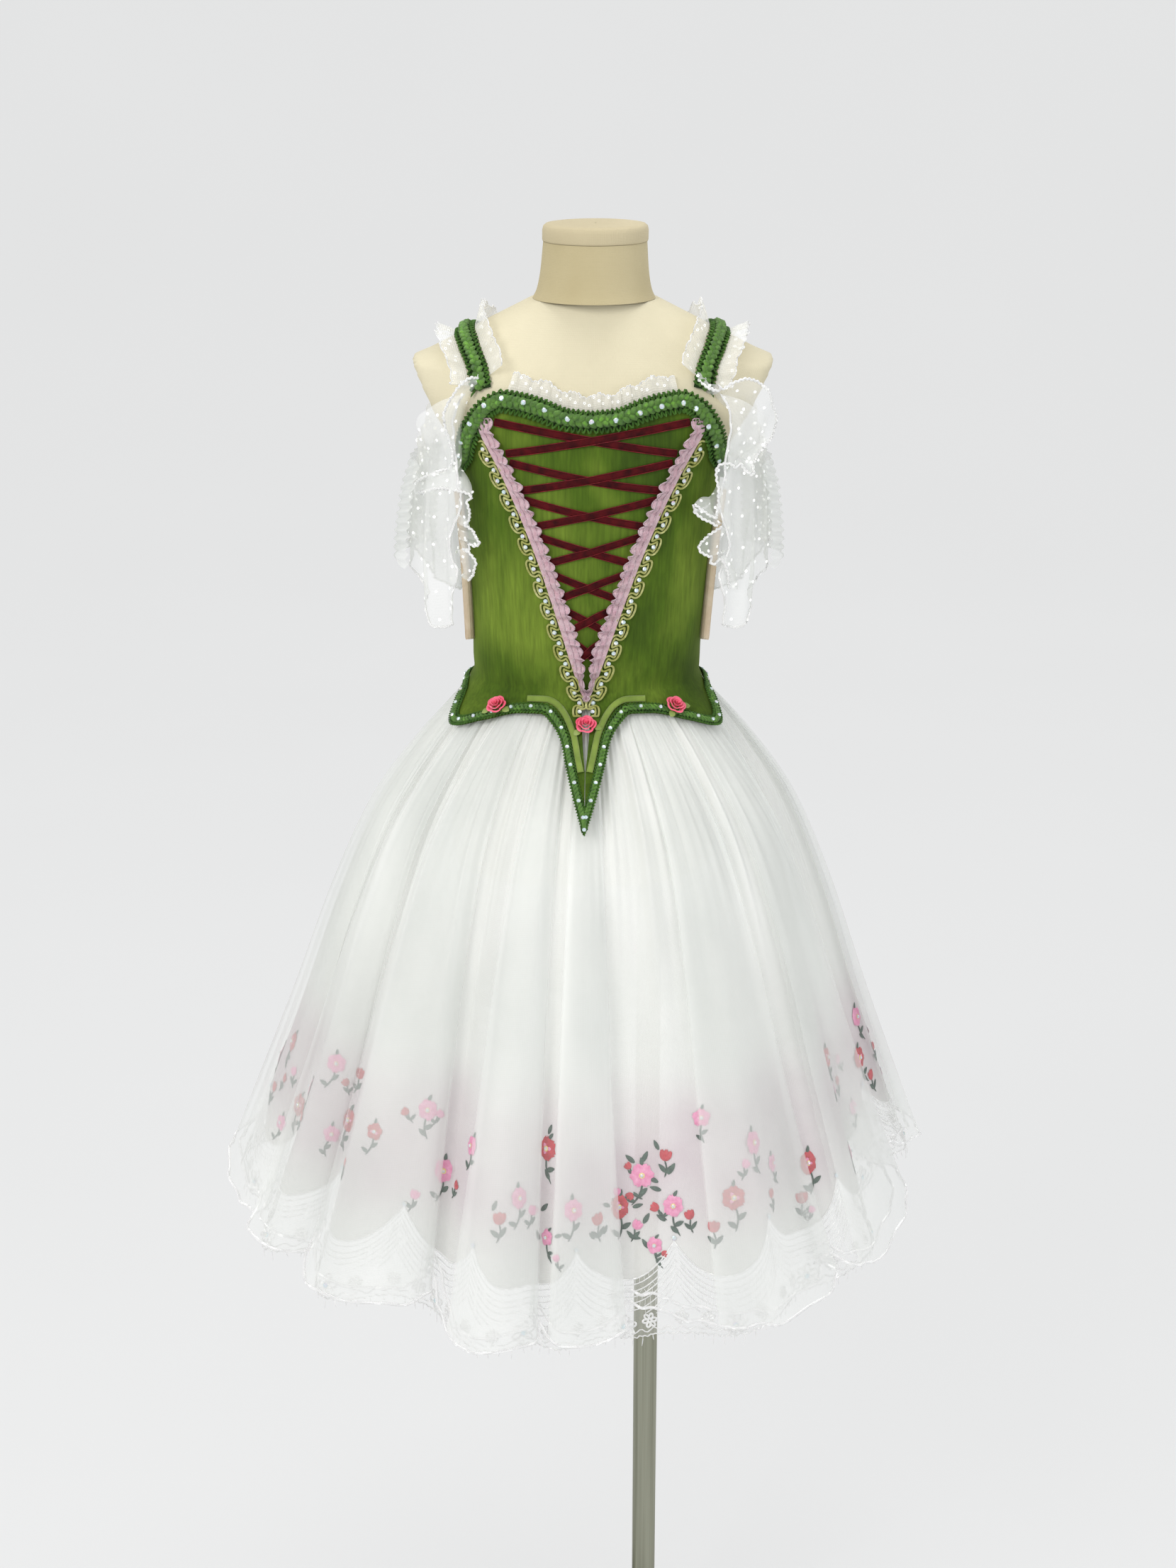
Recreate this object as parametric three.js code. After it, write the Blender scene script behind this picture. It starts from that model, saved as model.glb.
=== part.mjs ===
// A child's romantic ballet dress, worn by a limbless dress form on a pole stand.
// Units are millimetres, +Z is up and the front of the dress faces -Y.
// The origin is the centre of the base plate's underside.
// Angles go round the form: 0 is the centre front, 90 degrees is +X, 180 is the centre back.
// Heights of the dress and the form are taken from a datum that lies DATUM above the floor.
import * as THREE from 'three';

// Driving dimensions
const DATUM = 120;
const FORM_TOP = 1500;
const CLEAR = 0.4;
const FORM_GAP = 1.6;
const CLOTH = 1;
const PLUSH = 2;
const LEAN = 0.02;
const LEAN_LEVEL = 1150;
const WAIST = 1062;
const FLARE = 14;
const FORM_FOOT = 880;
const CAP_BASE = 1484;
const SKIRT_COLUMNS = 84;
const POLE = { x: 62, width: 25, corner: 5 };
const BASE = { radius: 165, thickness: 10, bevel: 1.5 };

// Dress form: half width, front depth and back depth of each level section
const FORM = [
  { z: 880, side: 126, front: 90, back: 100 },
  { z: 900, side: 131, front: 95, back: 105 },
  { z: 960, side: 127, front: 91, back: 102 },
  { z: 1010, side: 114, front: 82, back: 88 },
  { z: 1050, side: 106, front: 80, back: 76 },
  { z: 1100, side: 107, front: 85, back: 76 },
  { z: 1150, side: 109.5, front: 90, back: 80 },
  { z: 1200, side: 113, front: 94, back: 86 },
  { z: 1250, side: 118, front: 96, back: 90 },
  { z: 1290, side: 124, front: 95, back: 92 },
  { z: 1306, side: 137, front: 93.5, back: 91.5 },
  { z: 1322, side: 152, front: 91, back: 89.5 },
  { z: 1337, side: 166, front: 87, back: 86 },
  { z: 1353, side: 175, front: 81, back: 81.5 },
  { z: 1372, side: 178, front: 71, back: 74.5 },
  { z: 1387, side: 150, front: 62, back: 66 },
  { z: 1404, side: 116, front: 53, back: 58 },
  { z: 1420, side: 84, front: 47, back: 50 },
  { z: 1432, side: 60, front: 44, back: 46 },
];
const FORM_POWER = 2.3;

// Cut plane of each arm stump: half width at its lowest level and how it leans out
const STUMP = { z: 1290, x: 124, slope: 0.5 };

// Neck and its cap: radius and front-to-back tilt of each level
const NECK = [
  { z: 1432.4, radius: 57 },
  { z: 1440, radius: 53.5 },
  { z: 1455, radius: 50.5 },
  { z: 1483.7, radius: 48 },
];

// Upper edge of the bodice, from the centre front to the centre back
const NECKLINE = [
  { at: 0, z: 1341 },
  { at: 13, z: 1343 },
  { at: 27, z: 1351 },
  { at: 38, z: 1356 },
  { at: 47, z: 1358 },
  { at: 53, z: 1350 },
  { at: 59, z: 1328 },
  { at: 67, z: 1304 },
  { at: 78, z: 1289 },
  { at: 90, z: 1285 },
  { at: 108, z: 1290 },
  { at: 122, z: 1306 },
  { at: 133, z: 1322 },
  { at: 142, z: 1324 },
  { at: 160, z: 1316 },
  { at: 180, z: 1314 },
];

// Lower edge of the bodice, from the basque point to the centre back
const BASQUE = [
  { at: 0, z: 970 },
  { at: 3.2, z: 995 },
  { at: 6.6, z: 1018 },
  { at: 10.5, z: 1038 },
  { at: 16.5, z: 1050 },
  { at: 24.5, z: 1057 },
  { at: 36, z: 1056 },
  { at: 50, z: 1047 },
  { at: 63, z: 1037 },
  { at: 75, z: 1051 },
  { at: 88, z: 1061 },
  { at: 110, z: 1059 },
  { at: 145, z: 1055 },
  { at: 180, z: 1052 },
];

// Seam and gimp between the centre front and the side fronts
const V_SEAM = [
  { z: 1062, x: 4 },
  { z: 1076, x: 9.5 },
  { z: 1100, x: 17.5 },
  { z: 1150, x: 33 },
  { z: 1200, x: 49.5 },
  { z: 1250, x: 67 },
  { z: 1290, x: 83 },
  { z: 1306, x: 90 },
  { z: 1322, x: 97 },
  { z: 1337, x: 101.5 },
  { z: 1352, x: 106 },
];

// Skirt: mean radii of its outer layer, share of the hem's folds, depth of the gathers and step
// between layers at each level
const SKIRT = [
  { z: 1062, side: 112.5, front: 87.5, back: 82.5, power: 2.3, fold: 0, gather: 0.7, apart: 1.7 },
  { z: 1045, side: 129, front: 107, back: 103, power: 2.25, fold: 0.04, gather: 2.2, apart: 2.2 },
  { z: 1011, side: 157, front: 143, back: 141, power: 2.1, fold: 0.14, gather: 2.4, apart: 3 },
  { z: 946, side: 201, front: 197, back: 196, power: 2, fold: 0.3, gather: 1.4, apart: 4 },
  { z: 854, side: 240, front: 239, back: 239, power: 2, fold: 0.48, gather: 0.6, apart: 5 },
  { z: 729, side: 281, front: 281, back: 281, power: 2, fold: 0.68, gather: 0, apart: 6 },
  { z: 535, side: 348, front: 348, back: 348, power: 2, fold: 1, gather: 0, apart: 8 },
];

// Main folds at the hem: each crest with its reach, and the trough after it
const FOLDS = [
  { crest: -88, out: 25, trough: -69, dip: -4 },
  { crest: -60, out: 21, trough: -52, dip: -18 },
  { crest: -43, out: 20, trough: -29, dip: -42 },
  { crest: -13, out: 21, trough: 6, dip: -24 },
  { crest: 31, out: 20, trough: 43, dip: -6 },
  { crest: 52, out: 22, trough: 74, dip: -38 },
  { crest: 97, out: 22, trough: 108, dip: -26 },
  { crest: 118, out: 17, trough: 128, dip: -30 },
  { crest: 138, out: 20, trough: 148, dip: -22 },
  { crest: 159, out: 18, trough: 170, dip: -34 },
  { crest: 182, out: 21, trough: 192, dip: -26 },
  { crest: 203, out: 17, trough: 213, dip: -33 },
  { crest: 224, out: 20, trough: 235, dip: -24 },
  { crest: 247, out: 18, trough: 258, dip: -20 },
];
const RIPPLE = { count: 23, depth: 3 };
const HEM_LIFT = 0.12;

// Skirt layers: hem level, how many gaps each lies inside the outer one, and its share of the folds
const LAYERS = {
  overlayOuter: { hem: 535, inside: 0, share: 1 },
  overlayInner: { hem: 543, inside: 1, share: 0.93 },
  embroidered: { hem: 575, inside: 2, share: 0.86 },
};

// Lace border: its upper edge rises to a peak between scallops, columns are quarters of a scallop
const LACE_TOP = [606, 579, 571, 579];
const LACE_FOOT = [524, 516, 512, 516];
const LACE_MIDDLE = 547;
const LACE_SPLIT = 22;
const LACE_HOLE = { across: 0.36, up: 0.3, columns: [1, 2] };

// Drop sleeves: how far the flounce stands off at each level, near its ends and at its middle
const SLEEVE = [
  { z: 1100, edge: 8, middle: 44, wave: 4.5 },
  { z: 1150, edge: 7, middle: 48, wave: 4.5 },
  { z: 1200, edge: 5.5, middle: 48, wave: 4 },
  { z: 1250, edge: 8, middle: 40, wave: 3 },
  { z: 1295, edge: 15.4, middle: 18, wave: 2 },
  { z: 1345, edge: 16.6, middle: 2, wave: 1.2 },
  { z: 1390, edge: 16.6, middle: 0, wave: 0.6 },
];
const SLEEVE_EDGES = [
  { at: 56, top: 1356, low: 1168 },
  { at: 61, top: 1350, low: 1126 },
  { at: 68, top: 1336, low: 1124 },
  { at: 76, top: 1312, low: 1158 },
  { at: 86, top: 1302, low: 1196 },
  { at: 96, top: 1302, low: 1190 },
  { at: 106, top: 1314, low: 1150 },
  { at: 115, top: 1338, low: 1132 },
  { at: 124, top: 1352, low: 1172 },
];
const SLEEVE_WAVES = 7;
const NET = { from: 74, to: 114, top: 1286, low: 1186, pleats: 8, depth: 2.2, flare: 6 };
const ELASTIC = { at: 77, top: 1256, low: 1114, width: 8, gap: 3, thickness: 1.3 };

// Strap over the shoulder: plan route from the front to the back
const STRAP = [
  { y: -79, x: 96 },
  { y: -62, x: 103 },
  { y: -40, x: 112 },
  { y: -14, x: 117 },
  { y: 14, x: 117 },
  { y: 42, x: 110 },
  { y: 64, x: 100 },
  { y: 82, x: 88 },
];
const STRAP_WIDTH = 21;
const STRAP_GAP = 1.6;
const FRILL = { width: 15, waves: 5, wave: 3 };

// Trims: width, thickness and how many steps
const BRAID = { width: 18, thickness: 3 };
const BASQUE_TRIM = { width: 7.5, thickness: 3 };
const GIMP = { width: 12, thickness: 2.4, swing: 1.6, loops: 20 };
const PINK_LACE = { width: 10, thickness: 1.2, inset: 12, ruffle: 1.8 };
const RIBBON = { width: 6.5, thickness: 1.1 };
const CROSSINGS = [1316, 1281, 1249, 1215, 1180, 1147, 1116];
const ROSES = [
  { name: 'rose_left', x: -83, z: 1057, lift: 4.4 },
  { name: 'rose_centre', x: 0, z: 1049, lift: -0.4 },
  { name: 'rose_right', x: 83, z: 1057, lift: 4.4 },
];
const ROSE = { radius: 8, height: 8, petals: 5 };

// Colours taken from the photograph by eye
const COLOURS = {
  linen: 0xebe1be,
  plush: 0x587828,
  braid: 0x3c7828,
  olive: 0x6e8728,
  velvet: 0x370810,
  pinkLace: 0xe1b4c3,
  gimp: 0xbec35f,
  rose: 0xf04b6e,
  organza: 0xf2f4f2,
  lace: 0xffffff,
  elastic: 0xdcb98c,
  steel: 0x91947d,
};

const rad = THREE.MathUtils.degToRad;
const mix = THREE.MathUtils.lerp;

// Value of one column of a table at a key, straight between its rows
function lookup(table, key, value, column) {
  const rising = table[0][key] <= table[table.length - 1][key];
  const rows = rising ? table : [...table].reverse();
  let upper = rows.findIndex((row) => row[key] >= value);
  if (upper < 0) upper = rows.length - 1;
  upper = Math.max(upper, 1);
  const a = rows[upper - 1];
  const b = rows[upper];
  const share = THREE.MathUtils.clamp((value - a[key]) / (b[key] - a[key]), 0, 1);
  return mix(a[column], b[column], share);
}

// Point at an angle and radius, with the form's slight sideways lean
function place(angle, radius, z) {
  const shift = LEAN * (z - LEAN_LEVEL);
  return new THREE.Vector3(shift + radius * Math.sin(rad(angle)), -radius * Math.cos(rad(angle)), z);
}

function ovalRadius(angle, side, depth, power) {
  const across = Math.abs(Math.sin(rad(angle))) / side;
  const along = Math.abs(Math.cos(rad(angle))) / depth;
  return Math.pow(Math.pow(across, power) + Math.pow(along, power), -1 / power);
}

function isFront(angle) {
  return Math.cos(rad(angle)) > 0;
}

// Radius of the dress form, cut off flat at the arm stumps
function formRadius(angle, z) {
  const side = lookup(FORM, 'z', z, 'side');
  const depth = lookup(FORM, 'z', z, isFront(angle) ? 'front' : 'back');
  const radius = ovalRadius(angle, side, depth, FORM_POWER);
  if (z < STUMP.z) return radius;
  const cut = STUMP.x + (z - STUMP.z) * STUMP.slope;
  return Math.min(radius, cut / Math.max(Math.abs(Math.sin(rad(angle))), 0.01));
}

// Reach of the folds at the hem, eased from crest to trough
function foldReach(angle) {
  const points = FOLDS.flatMap((row) => [
    { at: row.crest, reach: row.out },
    { at: row.trough, reach: row.dip },
  ]);
  points.push({ at: points[0].at + 360, reach: points[0].reach });
  let turn = angle;
  while (turn < points[0].at) turn += 360;
  while (turn >= points[0].at + 360) turn -= 360;
  const next = points.findIndex((point) => point.at > turn);
  const a = points[next - 1];
  const b = points[next];
  const share = (turn - a.at) / (b.at - a.at);
  return mix(a.reach, b.reach, 0.5 - 0.5 * Math.cos(Math.PI * share));
}

// Radius of a skirt layer's outer face
function skirtRadius(angle, z, layer) {
  const side = lookup(SKIRT, 'z', z, 'side');
  const depth = lookup(SKIRT, 'z', z, isFront(angle) ? 'front' : 'back');
  const ripple = RIPPLE.depth * Math.cos(RIPPLE.count * rad(angle));
  const fold = lookup(SKIRT, 'z', z, 'fold') * layer.share * (foldReach(angle) + ripple);
  const gather = lookup(SKIRT, 'z', z, 'gather') * Math.cos(rad(angle) * SKIRT_COLUMNS / 2);
  const inside = layer.inside * lookup(SKIRT, 'z', z, 'apart');
  return ovalRadius(angle, side, depth, lookup(SKIRT, 'z', z, 'power')) + fold + gather - inside;
}

// Radius of the bodice's outer face: on the form above, over the skirt below the waist
function bodiceRadius(angle, z) {
  const standOff = FORM_GAP + 0.03 * Math.max(0, z - 1300);
  const onForm = formRadius(angle, z) + standOff + PLUSH;
  const level = Math.min(z, WAIST);
  const side = lookup(SKIRT, 'z', level, 'side');
  const depth = lookup(SKIRT, 'z', level, isFront(angle) ? 'front' : 'back');
  const puff = lookup(SKIRT, 'z', level, 'gather') + 28 * lookup(SKIRT, 'z', level, 'fold') + 1.3;
  const overSkirt = ovalRadius(angle, side, depth, lookup(SKIRT, 'z', level, 'power')) + puff + CLEAR + PLUSH;
  if (z <= WAIST) return Math.max(onForm, overSkirt);
  const fade = THREE.MathUtils.clamp((z - WAIST) / FLARE, 0, 1);
  return mix(Math.max(onForm, overSkirt), onForm, fade);
}

// Angle at which the bodice's face has a given sideways place, in front
function frontAngle(x, z) {
  let angle = 0;
  for (let turn = 0; turn < 12; turn++) {
    const radius = bodiceRadius(angle, z);
    angle = THREE.MathUtils.radToDeg(Math.asin(THREE.MathUtils.clamp(x / radius, -0.99, 0.99)));
  }
  return angle;
}

// Point over a radius function's surface, moved out along its normal
function over(radiusAt, angle, z, lift) {
  const step = 0.5;
  const here = place(angle, radiusAt(angle, z), z);
  const right = place(angle + step, radiusAt(angle + step, z), z);
  const up = place(angle, radiusAt(angle, z + step), z + step);
  const normal = right.sub(here).cross(up.sub(here)).normalize();
  return here.addScaledVector(normal, lift);
}

function toMesh(name, vertices, faces, material) {
  const geometry = new THREE.BufferGeometry();
  const positions = vertices.flatMap((point) => [point.x, point.y, point.z]);
  geometry.setAttribute('position', new THREE.Float32BufferAttribute(positions, 3));
  geometry.setIndex(faces.flat());
  geometry.computeVertexNormals();
  const mesh = new THREE.Mesh(geometry, material);
  mesh.name = name;
  return mesh;
}

function finish(colour, roughness, metalness = 0) {
  return new THREE.MeshStandardMaterial({ color: colour, roughness, metalness });
}

// Closed wall between an outer and an inner grid of points, rows going up and columns to the right.
// A round wall joins its last column to its first; cells that hasHole names get an opening.
function wall(name, outer, inner, material, { round = false, hasHole = () => false } = {}) {
  const rows = outer.length;
  const columns = outer[0].length;
  const vertices = [...outer.flat(), ...inner.flat()];
  const faces = [];
  const out = (row, column) => row * columns + (column % columns);
  const inn = (row, column) => rows * columns + out(row, column);
  const quad = (a, b, c, d) => faces.push([a, b, c], [a, c, d]);
  const between = (a, b, c, d, s, t) => {
    const low = vertices[a].clone().lerp(vertices[b], s);
    const high = vertices[d].clone().lerp(vertices[c], s);
    vertices.push(low.lerp(high, t));
    return vertices.length - 1;
  };
  const window = (cell) => {
    const low = { s: 0.5 - LACE_HOLE.across / 2, t: 0.5 - LACE_HOLE.up / 2 };
    const high = { s: 0.5 + LACE_HOLE.across / 2, t: 0.5 + LACE_HOLE.up / 2 };
    return [
      between(...cell, low.s, low.t),
      between(...cell, high.s, low.t),
      between(...cell, high.s, high.t),
      between(...cell, low.s, high.t),
    ];
  };
  const spans = round ? columns : columns - 1;
  for (let row = 0; row < rows - 1; row++) {
    for (let column = 0; column < spans; column++) {
      const corners = [[row, column], [row, column + 1], [row + 1, column + 1], [row + 1, column]];
      const front = corners.map(([r, c]) => out(r, c));
      const back = corners.map(([r, c]) => inn(r, c));
      if (!hasHole(row, column)) {
        quad(...front);
        faces.push([back[0], back[2], back[1]], [back[0], back[3], back[2]]);
        continue;
      }
      const frontWindow = window(front);
      const backWindow = window(back);
      for (let i = 0; i < 4; i++) {
        const j = (i + 1) % 4;
        quad(front[i], front[j], frontWindow[j], frontWindow[i]);
        quad(back[j], back[i], backWindow[i], backWindow[j]);
        quad(frontWindow[i], frontWindow[j], backWindow[j], backWindow[i]);
      }
    }
  }
  for (let column = 0; column < spans; column++) {
    const top = rows - 1;
    quad(out(0, column + 1), out(0, column), inn(0, column), inn(0, column + 1));
    quad(out(top, column), out(top, column + 1), inn(top, column + 1), inn(top, column));
  }
  if (!round) {
    const last = columns - 1;
    for (let row = 0; row < rows - 1; row++) {
      quad(out(row, 0), out(row + 1, 0), inn(row + 1, 0), inn(row, 0));
      quad(out(row + 1, last), out(row, last), inn(row, last), inn(row + 1, last));
    }
  }
  return toMesh(name, vertices, faces, material);
}

// Solid through closed rings, from the lowest to the highest, with a fan over each end
function loft(name, rings, material) {
  const count = rings[0].length;
  const vertices = rings.flat();
  const faces = [];
  for (let row = 0; row < rings.length - 1; row++) {
    for (let i = 0; i < count; i++) {
      const a = row * count + i;
      const b = row * count + ((i + 1) % count);
      faces.push([a, b, b + count], [a, b + count, a + count]);
    }
  }
  const centre = (ring) => {
    const sum = ring.reduce((total, point) => total.add(point), new THREE.Vector3());
    vertices.push(sum.divideScalar(ring.length));
    return vertices.length - 1;
  };
  const low = centre(rings[0]);
  const high = centre(rings[rings.length - 1]);
  const top = (rings.length - 1) * count;
  for (let i = 0; i < count; i++) {
    const next = (i + 1) % count;
    faces.push([low, next, i], [high, top + i, top + next]);
  }
  return toMesh(name, vertices, faces, material);
}

// Band along frames of { centre, side, up }: the section lists its corners as [across, lift],
// going round so that its faces point out; a closed band joins its ends
function band(name, frames, section, material, closed = false) {
  const count = section.length;
  const vertices = frames.flatMap((frame) => section.map(([across, lift]) => frame.centre.clone()
    .addScaledVector(frame.side, across)
    .addScaledVector(frame.up, lift)));
  const faces = [];
  const spans = closed ? frames.length : frames.length - 1;
  for (let i = 0; i < spans; i++) {
    const here = i * count;
    const next = ((i + 1) % frames.length) * count;
    for (let k = 0; k < count; k++) {
      const m = (k + 1) % count;
      faces.push([here + k, next + k, next + m], [here + k, next + m, here + m]);
    }
  }
  if (!closed) {
    const end = (frames.length - 1) * count;
    for (let k = 1; k < count - 1; k++) {
      faces.push([0, k, k + 1], [end, end + k + 1, end + k]);
    }
  }
  return toMesh(name, vertices, faces, material);
}

// Frames along a route of { angle, z, lift } over a surface; side points to the right of travel
function surfaceFrames(route, radiusAt, closed = false) {
  const centres = route.map((stop) => over(radiusAt, stop.angle, stop.z, stop.lift));
  return centres.map((centre, i) => {
    const last = centres.length - 1;
    const before = centres[closed && i === 0 ? last : Math.max(i - 1, 0)];
    const after = centres[closed && i === last ? 0 : Math.min(i + 1, last)];
    const ahead = after.clone().sub(before).normalize();
    const foot = over(radiusAt, route[i].angle, route[i].z, 0);
    const up = over(radiusAt, route[i].angle, route[i].z, 1).sub(foot);
    const side = ahead.clone().cross(up).normalize();
    return { centre, side, up: side.clone().cross(ahead).normalize() };
  });
}

// Flat section with a raised middle, in the order that band expects
function ribbonSection(width, thickness, crown = 0) {
  const half = width / 2;
  const flat = [[-half, 0], [half, 0], [half, thickness]];
  const middle = crown > 0 ? [[0, thickness + crown]] : [];
  return [...flat, ...middle, [-half, thickness]];
}

// Cloth panel of the bodice through rows of { angle, z }
function panel(name, rows) {
  const grid = (lift) => rows.map((row) => row.map(({ angle, z }) => {
    return place(angle, bodiceRadius(angle, z) + lift, z);
  }));
  return wall(name, grid(0), grid(-PLUSH), finish(COLOURS.plush, 0.95));
}

function shares(count) {
  return Array.from({ length: count + 1 }, (_, i) => i / count);
}

const neckline = (angle) => lookup(NECKLINE, 'at', Math.abs(angle), 'z');
const basque = (angle) => lookup(BASQUE, 'at', Math.abs(angle), 'z');
const seamAngle = (z) => frontAngle(lookup(V_SEAM, 'z', z, 'x'), z);
const halfSeam = 0.12;

// Dress form
function formTorso() {
  const columns = 32;
  const rings = FORM.map(({ z }) => Array.from({ length: columns }, (_, i) => {
    const angle = (i * 360) / columns;
    return place(angle, formRadius(angle, z), z);
  }));
  return loft('form_torso', rings, finish(COLOURS.linen, 0.9));
}

function formNeck() {
  const columns = 24;
  const rings = NECK.map(({ z, radius }) => Array.from({ length: columns }, (_, i) => {
    return place((i * 360) / columns, radius, z);
  }));
  return loft('form_neck', rings, finish(COLOURS.linen, 0.9));
}

function formNeckCap() {
  const radius = 49;
  const rim = 3;
  const levels = [
    { z: CAP_BASE, radius: radius - 0.5 },
    { z: CAP_BASE + 2, radius },
    { z: FORM_TOP - rim, radius },
    { z: FORM_TOP - 1, radius: radius - rim + 1 },
    { z: FORM_TOP, radius: radius - 2 * rim },
  ];
  const columns = 24;
  const rings = levels.map((level) => Array.from({ length: columns }, (_, i) => {
    return place((i * 360) / columns, level.radius, level.z);
  }));
  return loft('form_neck_cap', rings, finish(COLOURS.linen, 0.8));
}

// Stand
function standPole() {
  const half = POLE.width / 2;
  const c = POLE.corner;
  const outline = new THREE.Shape();
  outline.moveTo(-half + c, -half);
  outline.lineTo(half - c, -half);
  outline.absarc(half - c, -half + c, c, -Math.PI / 2, 0);
  outline.absarc(half - c, half - c, c, 0, Math.PI / 2);
  outline.absarc(-half + c, half - c, c, Math.PI / 2, Math.PI);
  outline.absarc(-half + c, -half + c, c, Math.PI, 1.5 * Math.PI);
  const foot = BASE.thickness + CLEAR;
  const geometry = new THREE.ExtrudeGeometry(outline, {
    depth: DATUM + FORM_FOOT - CLEAR - foot,
    bevelEnabled: false,
    curveSegments: 2,
  });
  geometry.translate(POLE.x, 0, foot);
  const mesh = new THREE.Mesh(geometry, finish(COLOURS.steel, 0.35, 0.9));
  mesh.name = 'stand_pole';
  return mesh;
}

function standBase() {
  const outline = new THREE.Shape();
  outline.absarc(0, 0, BASE.radius - BASE.bevel, 0, 2 * Math.PI);
  const geometry = new THREE.ExtrudeGeometry(outline, {
    depth: BASE.thickness - 2 * BASE.bevel,
    bevelThickness: BASE.bevel,
    bevelSize: BASE.bevel,
    bevelSegments: 1,
    curveSegments: 18,
  });
  geometry.translate(0, 0, BASE.bevel);
  const mesh = new THREE.Mesh(geometry, finish(COLOURS.steel, 0.45, 0.9));
  mesh.name = 'stand_base';
  return mesh;
}

// Bodice
const V_TOP = 52;

// Angle of the seam between centre front and side front at each of its levels, and at the neckline
function seamStops(offset) {
  const stops = V_SEAM.slice(0, -1).map(({ z }) => ({ angle: seamAngle(z) + offset, z }));
  return [...stops, { angle: V_TOP + offset, z: neckline(V_TOP + offset) }];
}

function bodiceFrontCentre() {
  const stops = seamStops(-halfSeam);
  const [turning, head] = [1322, stops[stops.length - 1].z];
  const rows = stops.map((stop) => shares(10).map((u) => {
    const angle = mix(-stop.angle, stop.angle, u);
    if (stop.z <= turning) return { angle, z: stop.z };
    return { angle, z: mix(turning, neckline(angle), (stop.z - turning) / (head - turning)) };
  }));
  return panel('bodice_front_centre', rows);
}

// Side front: its inner edge goes up the basque point, then up the V; columns are closest at the point
function bodiceFrontSide(name, sign) {
  const seam = 88 - halfSeam;
  const columns = [seam, 75, 63, 50, 36, 24.5, 16.5, 10.5, 6.6, 3.2, halfSeam];
  const shareOf = (at) => (seam - at) / (seam - halfSeam);
  const stops = seamStops(halfSeam);
  const last = stops.length - 1;
  const lowRow = columns.map((at) => ({ angle: at, z: basque(at) }));
  const upperRows = stops.map((stop, row) => columns.map((at) => {
    const angle = mix(seam, stop.angle, shareOf(at));
    const top = neckline(mix(seam, stops[last].angle, shareOf(at)));
    if (row === last) return { angle, z: top };
    if (stop.z < 1101) return { angle, z: Math.max(stop.z, basque(angle) + 3 * (row + 1)) };
    return { angle, z: mix(1100, top, (stop.z - 1100) / (stops[last].z - 1100)) };
  }));
  const middleRow = columns.map((at, i) => ({
    angle: mix(lowRow[i].angle, upperRows[0][i].angle, at < 1 ? 0 : 0.5),
    z: mix(lowRow[i].z, upperRows[0][i].z, 0.5),
  }));
  const rows = [lowRow, middleRow, ...upperRows].map((row) => {
    const turned = row.map(({ angle, z }) => ({ angle: sign * angle, z }));
    return sign > 0 ? turned.reverse() : turned;
  });
  return panel(name, rows);
}

function bodiceBack(name, sign) {
  const columns = shares(9).map((u) => mix(88 + halfSeam, 180 - halfSeam, u));
  const low = [WAIST, WAIST + FLARE, 1100];
  const high = [0.25, 0.5, 0.75, 0.9, 1];
  const rows = [
    columns.map((at) => ({ angle: at, z: basque(at) })),
    ...low.map((level, i) => columns.map((at) => ({ angle: at, z: Math.max(level, basque(at) + 3 * (i + 1)) }))),
    ...high.map((v) => columns.map((at) => ({ angle: at, z: mix(1100, neckline(at), v) }))),
  ].map((row) => {
    const turned = row.map(({ angle, z }) => ({ angle: sign * angle, z }));
    return sign > 0 ? turned : turned.reverse();
  });
  return panel(name, rows);
}

// Place at a distance below an edge of the bodice, square to the edge
function beside(edge, angle, distance) {
  const step = 2;
  const radius = bodiceRadius(angle, edge(angle));
  const run = rad(2 * step) * radius;
  const rise = edge(angle + step) - edge(angle - step);
  const length = Math.hypot(run, rise);
  const turn = THREE.MathUtils.radToDeg((distance * rise) / length / radius);
  return { angle: angle + turn, z: edge(angle) - (distance * run) / length };
}

// Trim all round an edge of the bodice: rows of { distance, thickness } from the lowest up
function edgeTrim(name, edge, turns, rows, liftAt, material) {
  const grid = (outside) => rows.map(({ distance, thickness }) => turns.map((turn) => {
    const { angle, z } = beside(edge, turn, distance);
    return over(bodiceRadius, angle, z, liftAt(turn) + outside * thickness);
  }));
  return wall(name, grid(1), grid(0), material, { round: true });
}

function necklineBraid() {
  const turns = Array.from({ length: 64 }, (_, i) => (i * 360) / 64 - 180);
  const rows = [
    { distance: BRAID.width, thickness: BRAID.thickness - 1 },
    { distance: BRAID.width / 2, thickness: BRAID.thickness },
    { distance: -0.5, thickness: BRAID.thickness - 1 },
  ];
  const liftAt = (turn) => CLEAR + (Math.abs(turn) > 55 && Math.abs(turn) < 128 ? 2.6 : 0.3);
  return edgeTrim('neckline_braid', neckline, turns, rows, liftAt, finish(COLOURS.braid, 0.8));
}

function basqueTrim() {
  const between = [1.6, 30, 43, 57, 69, 81, 99, 122, 134, 157, 169];
  const half = [...BASQUE.map((row) => row.at), ...between].sort((a, b) => a - b);
  const turns = [...half.slice(1).reverse().map((at) => -at), 0, ...half.slice(1, -1)];
  const rows = [
    { distance: 0, thickness: BASQUE_TRIM.thickness },
    { distance: -BASQUE_TRIM.width, thickness: BASQUE_TRIM.thickness },
  ];
  return edgeTrim('basque_trim', basque, turns, rows, () => CLEAR + 0.3, finish(COLOURS.braid, 0.8));
}

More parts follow.
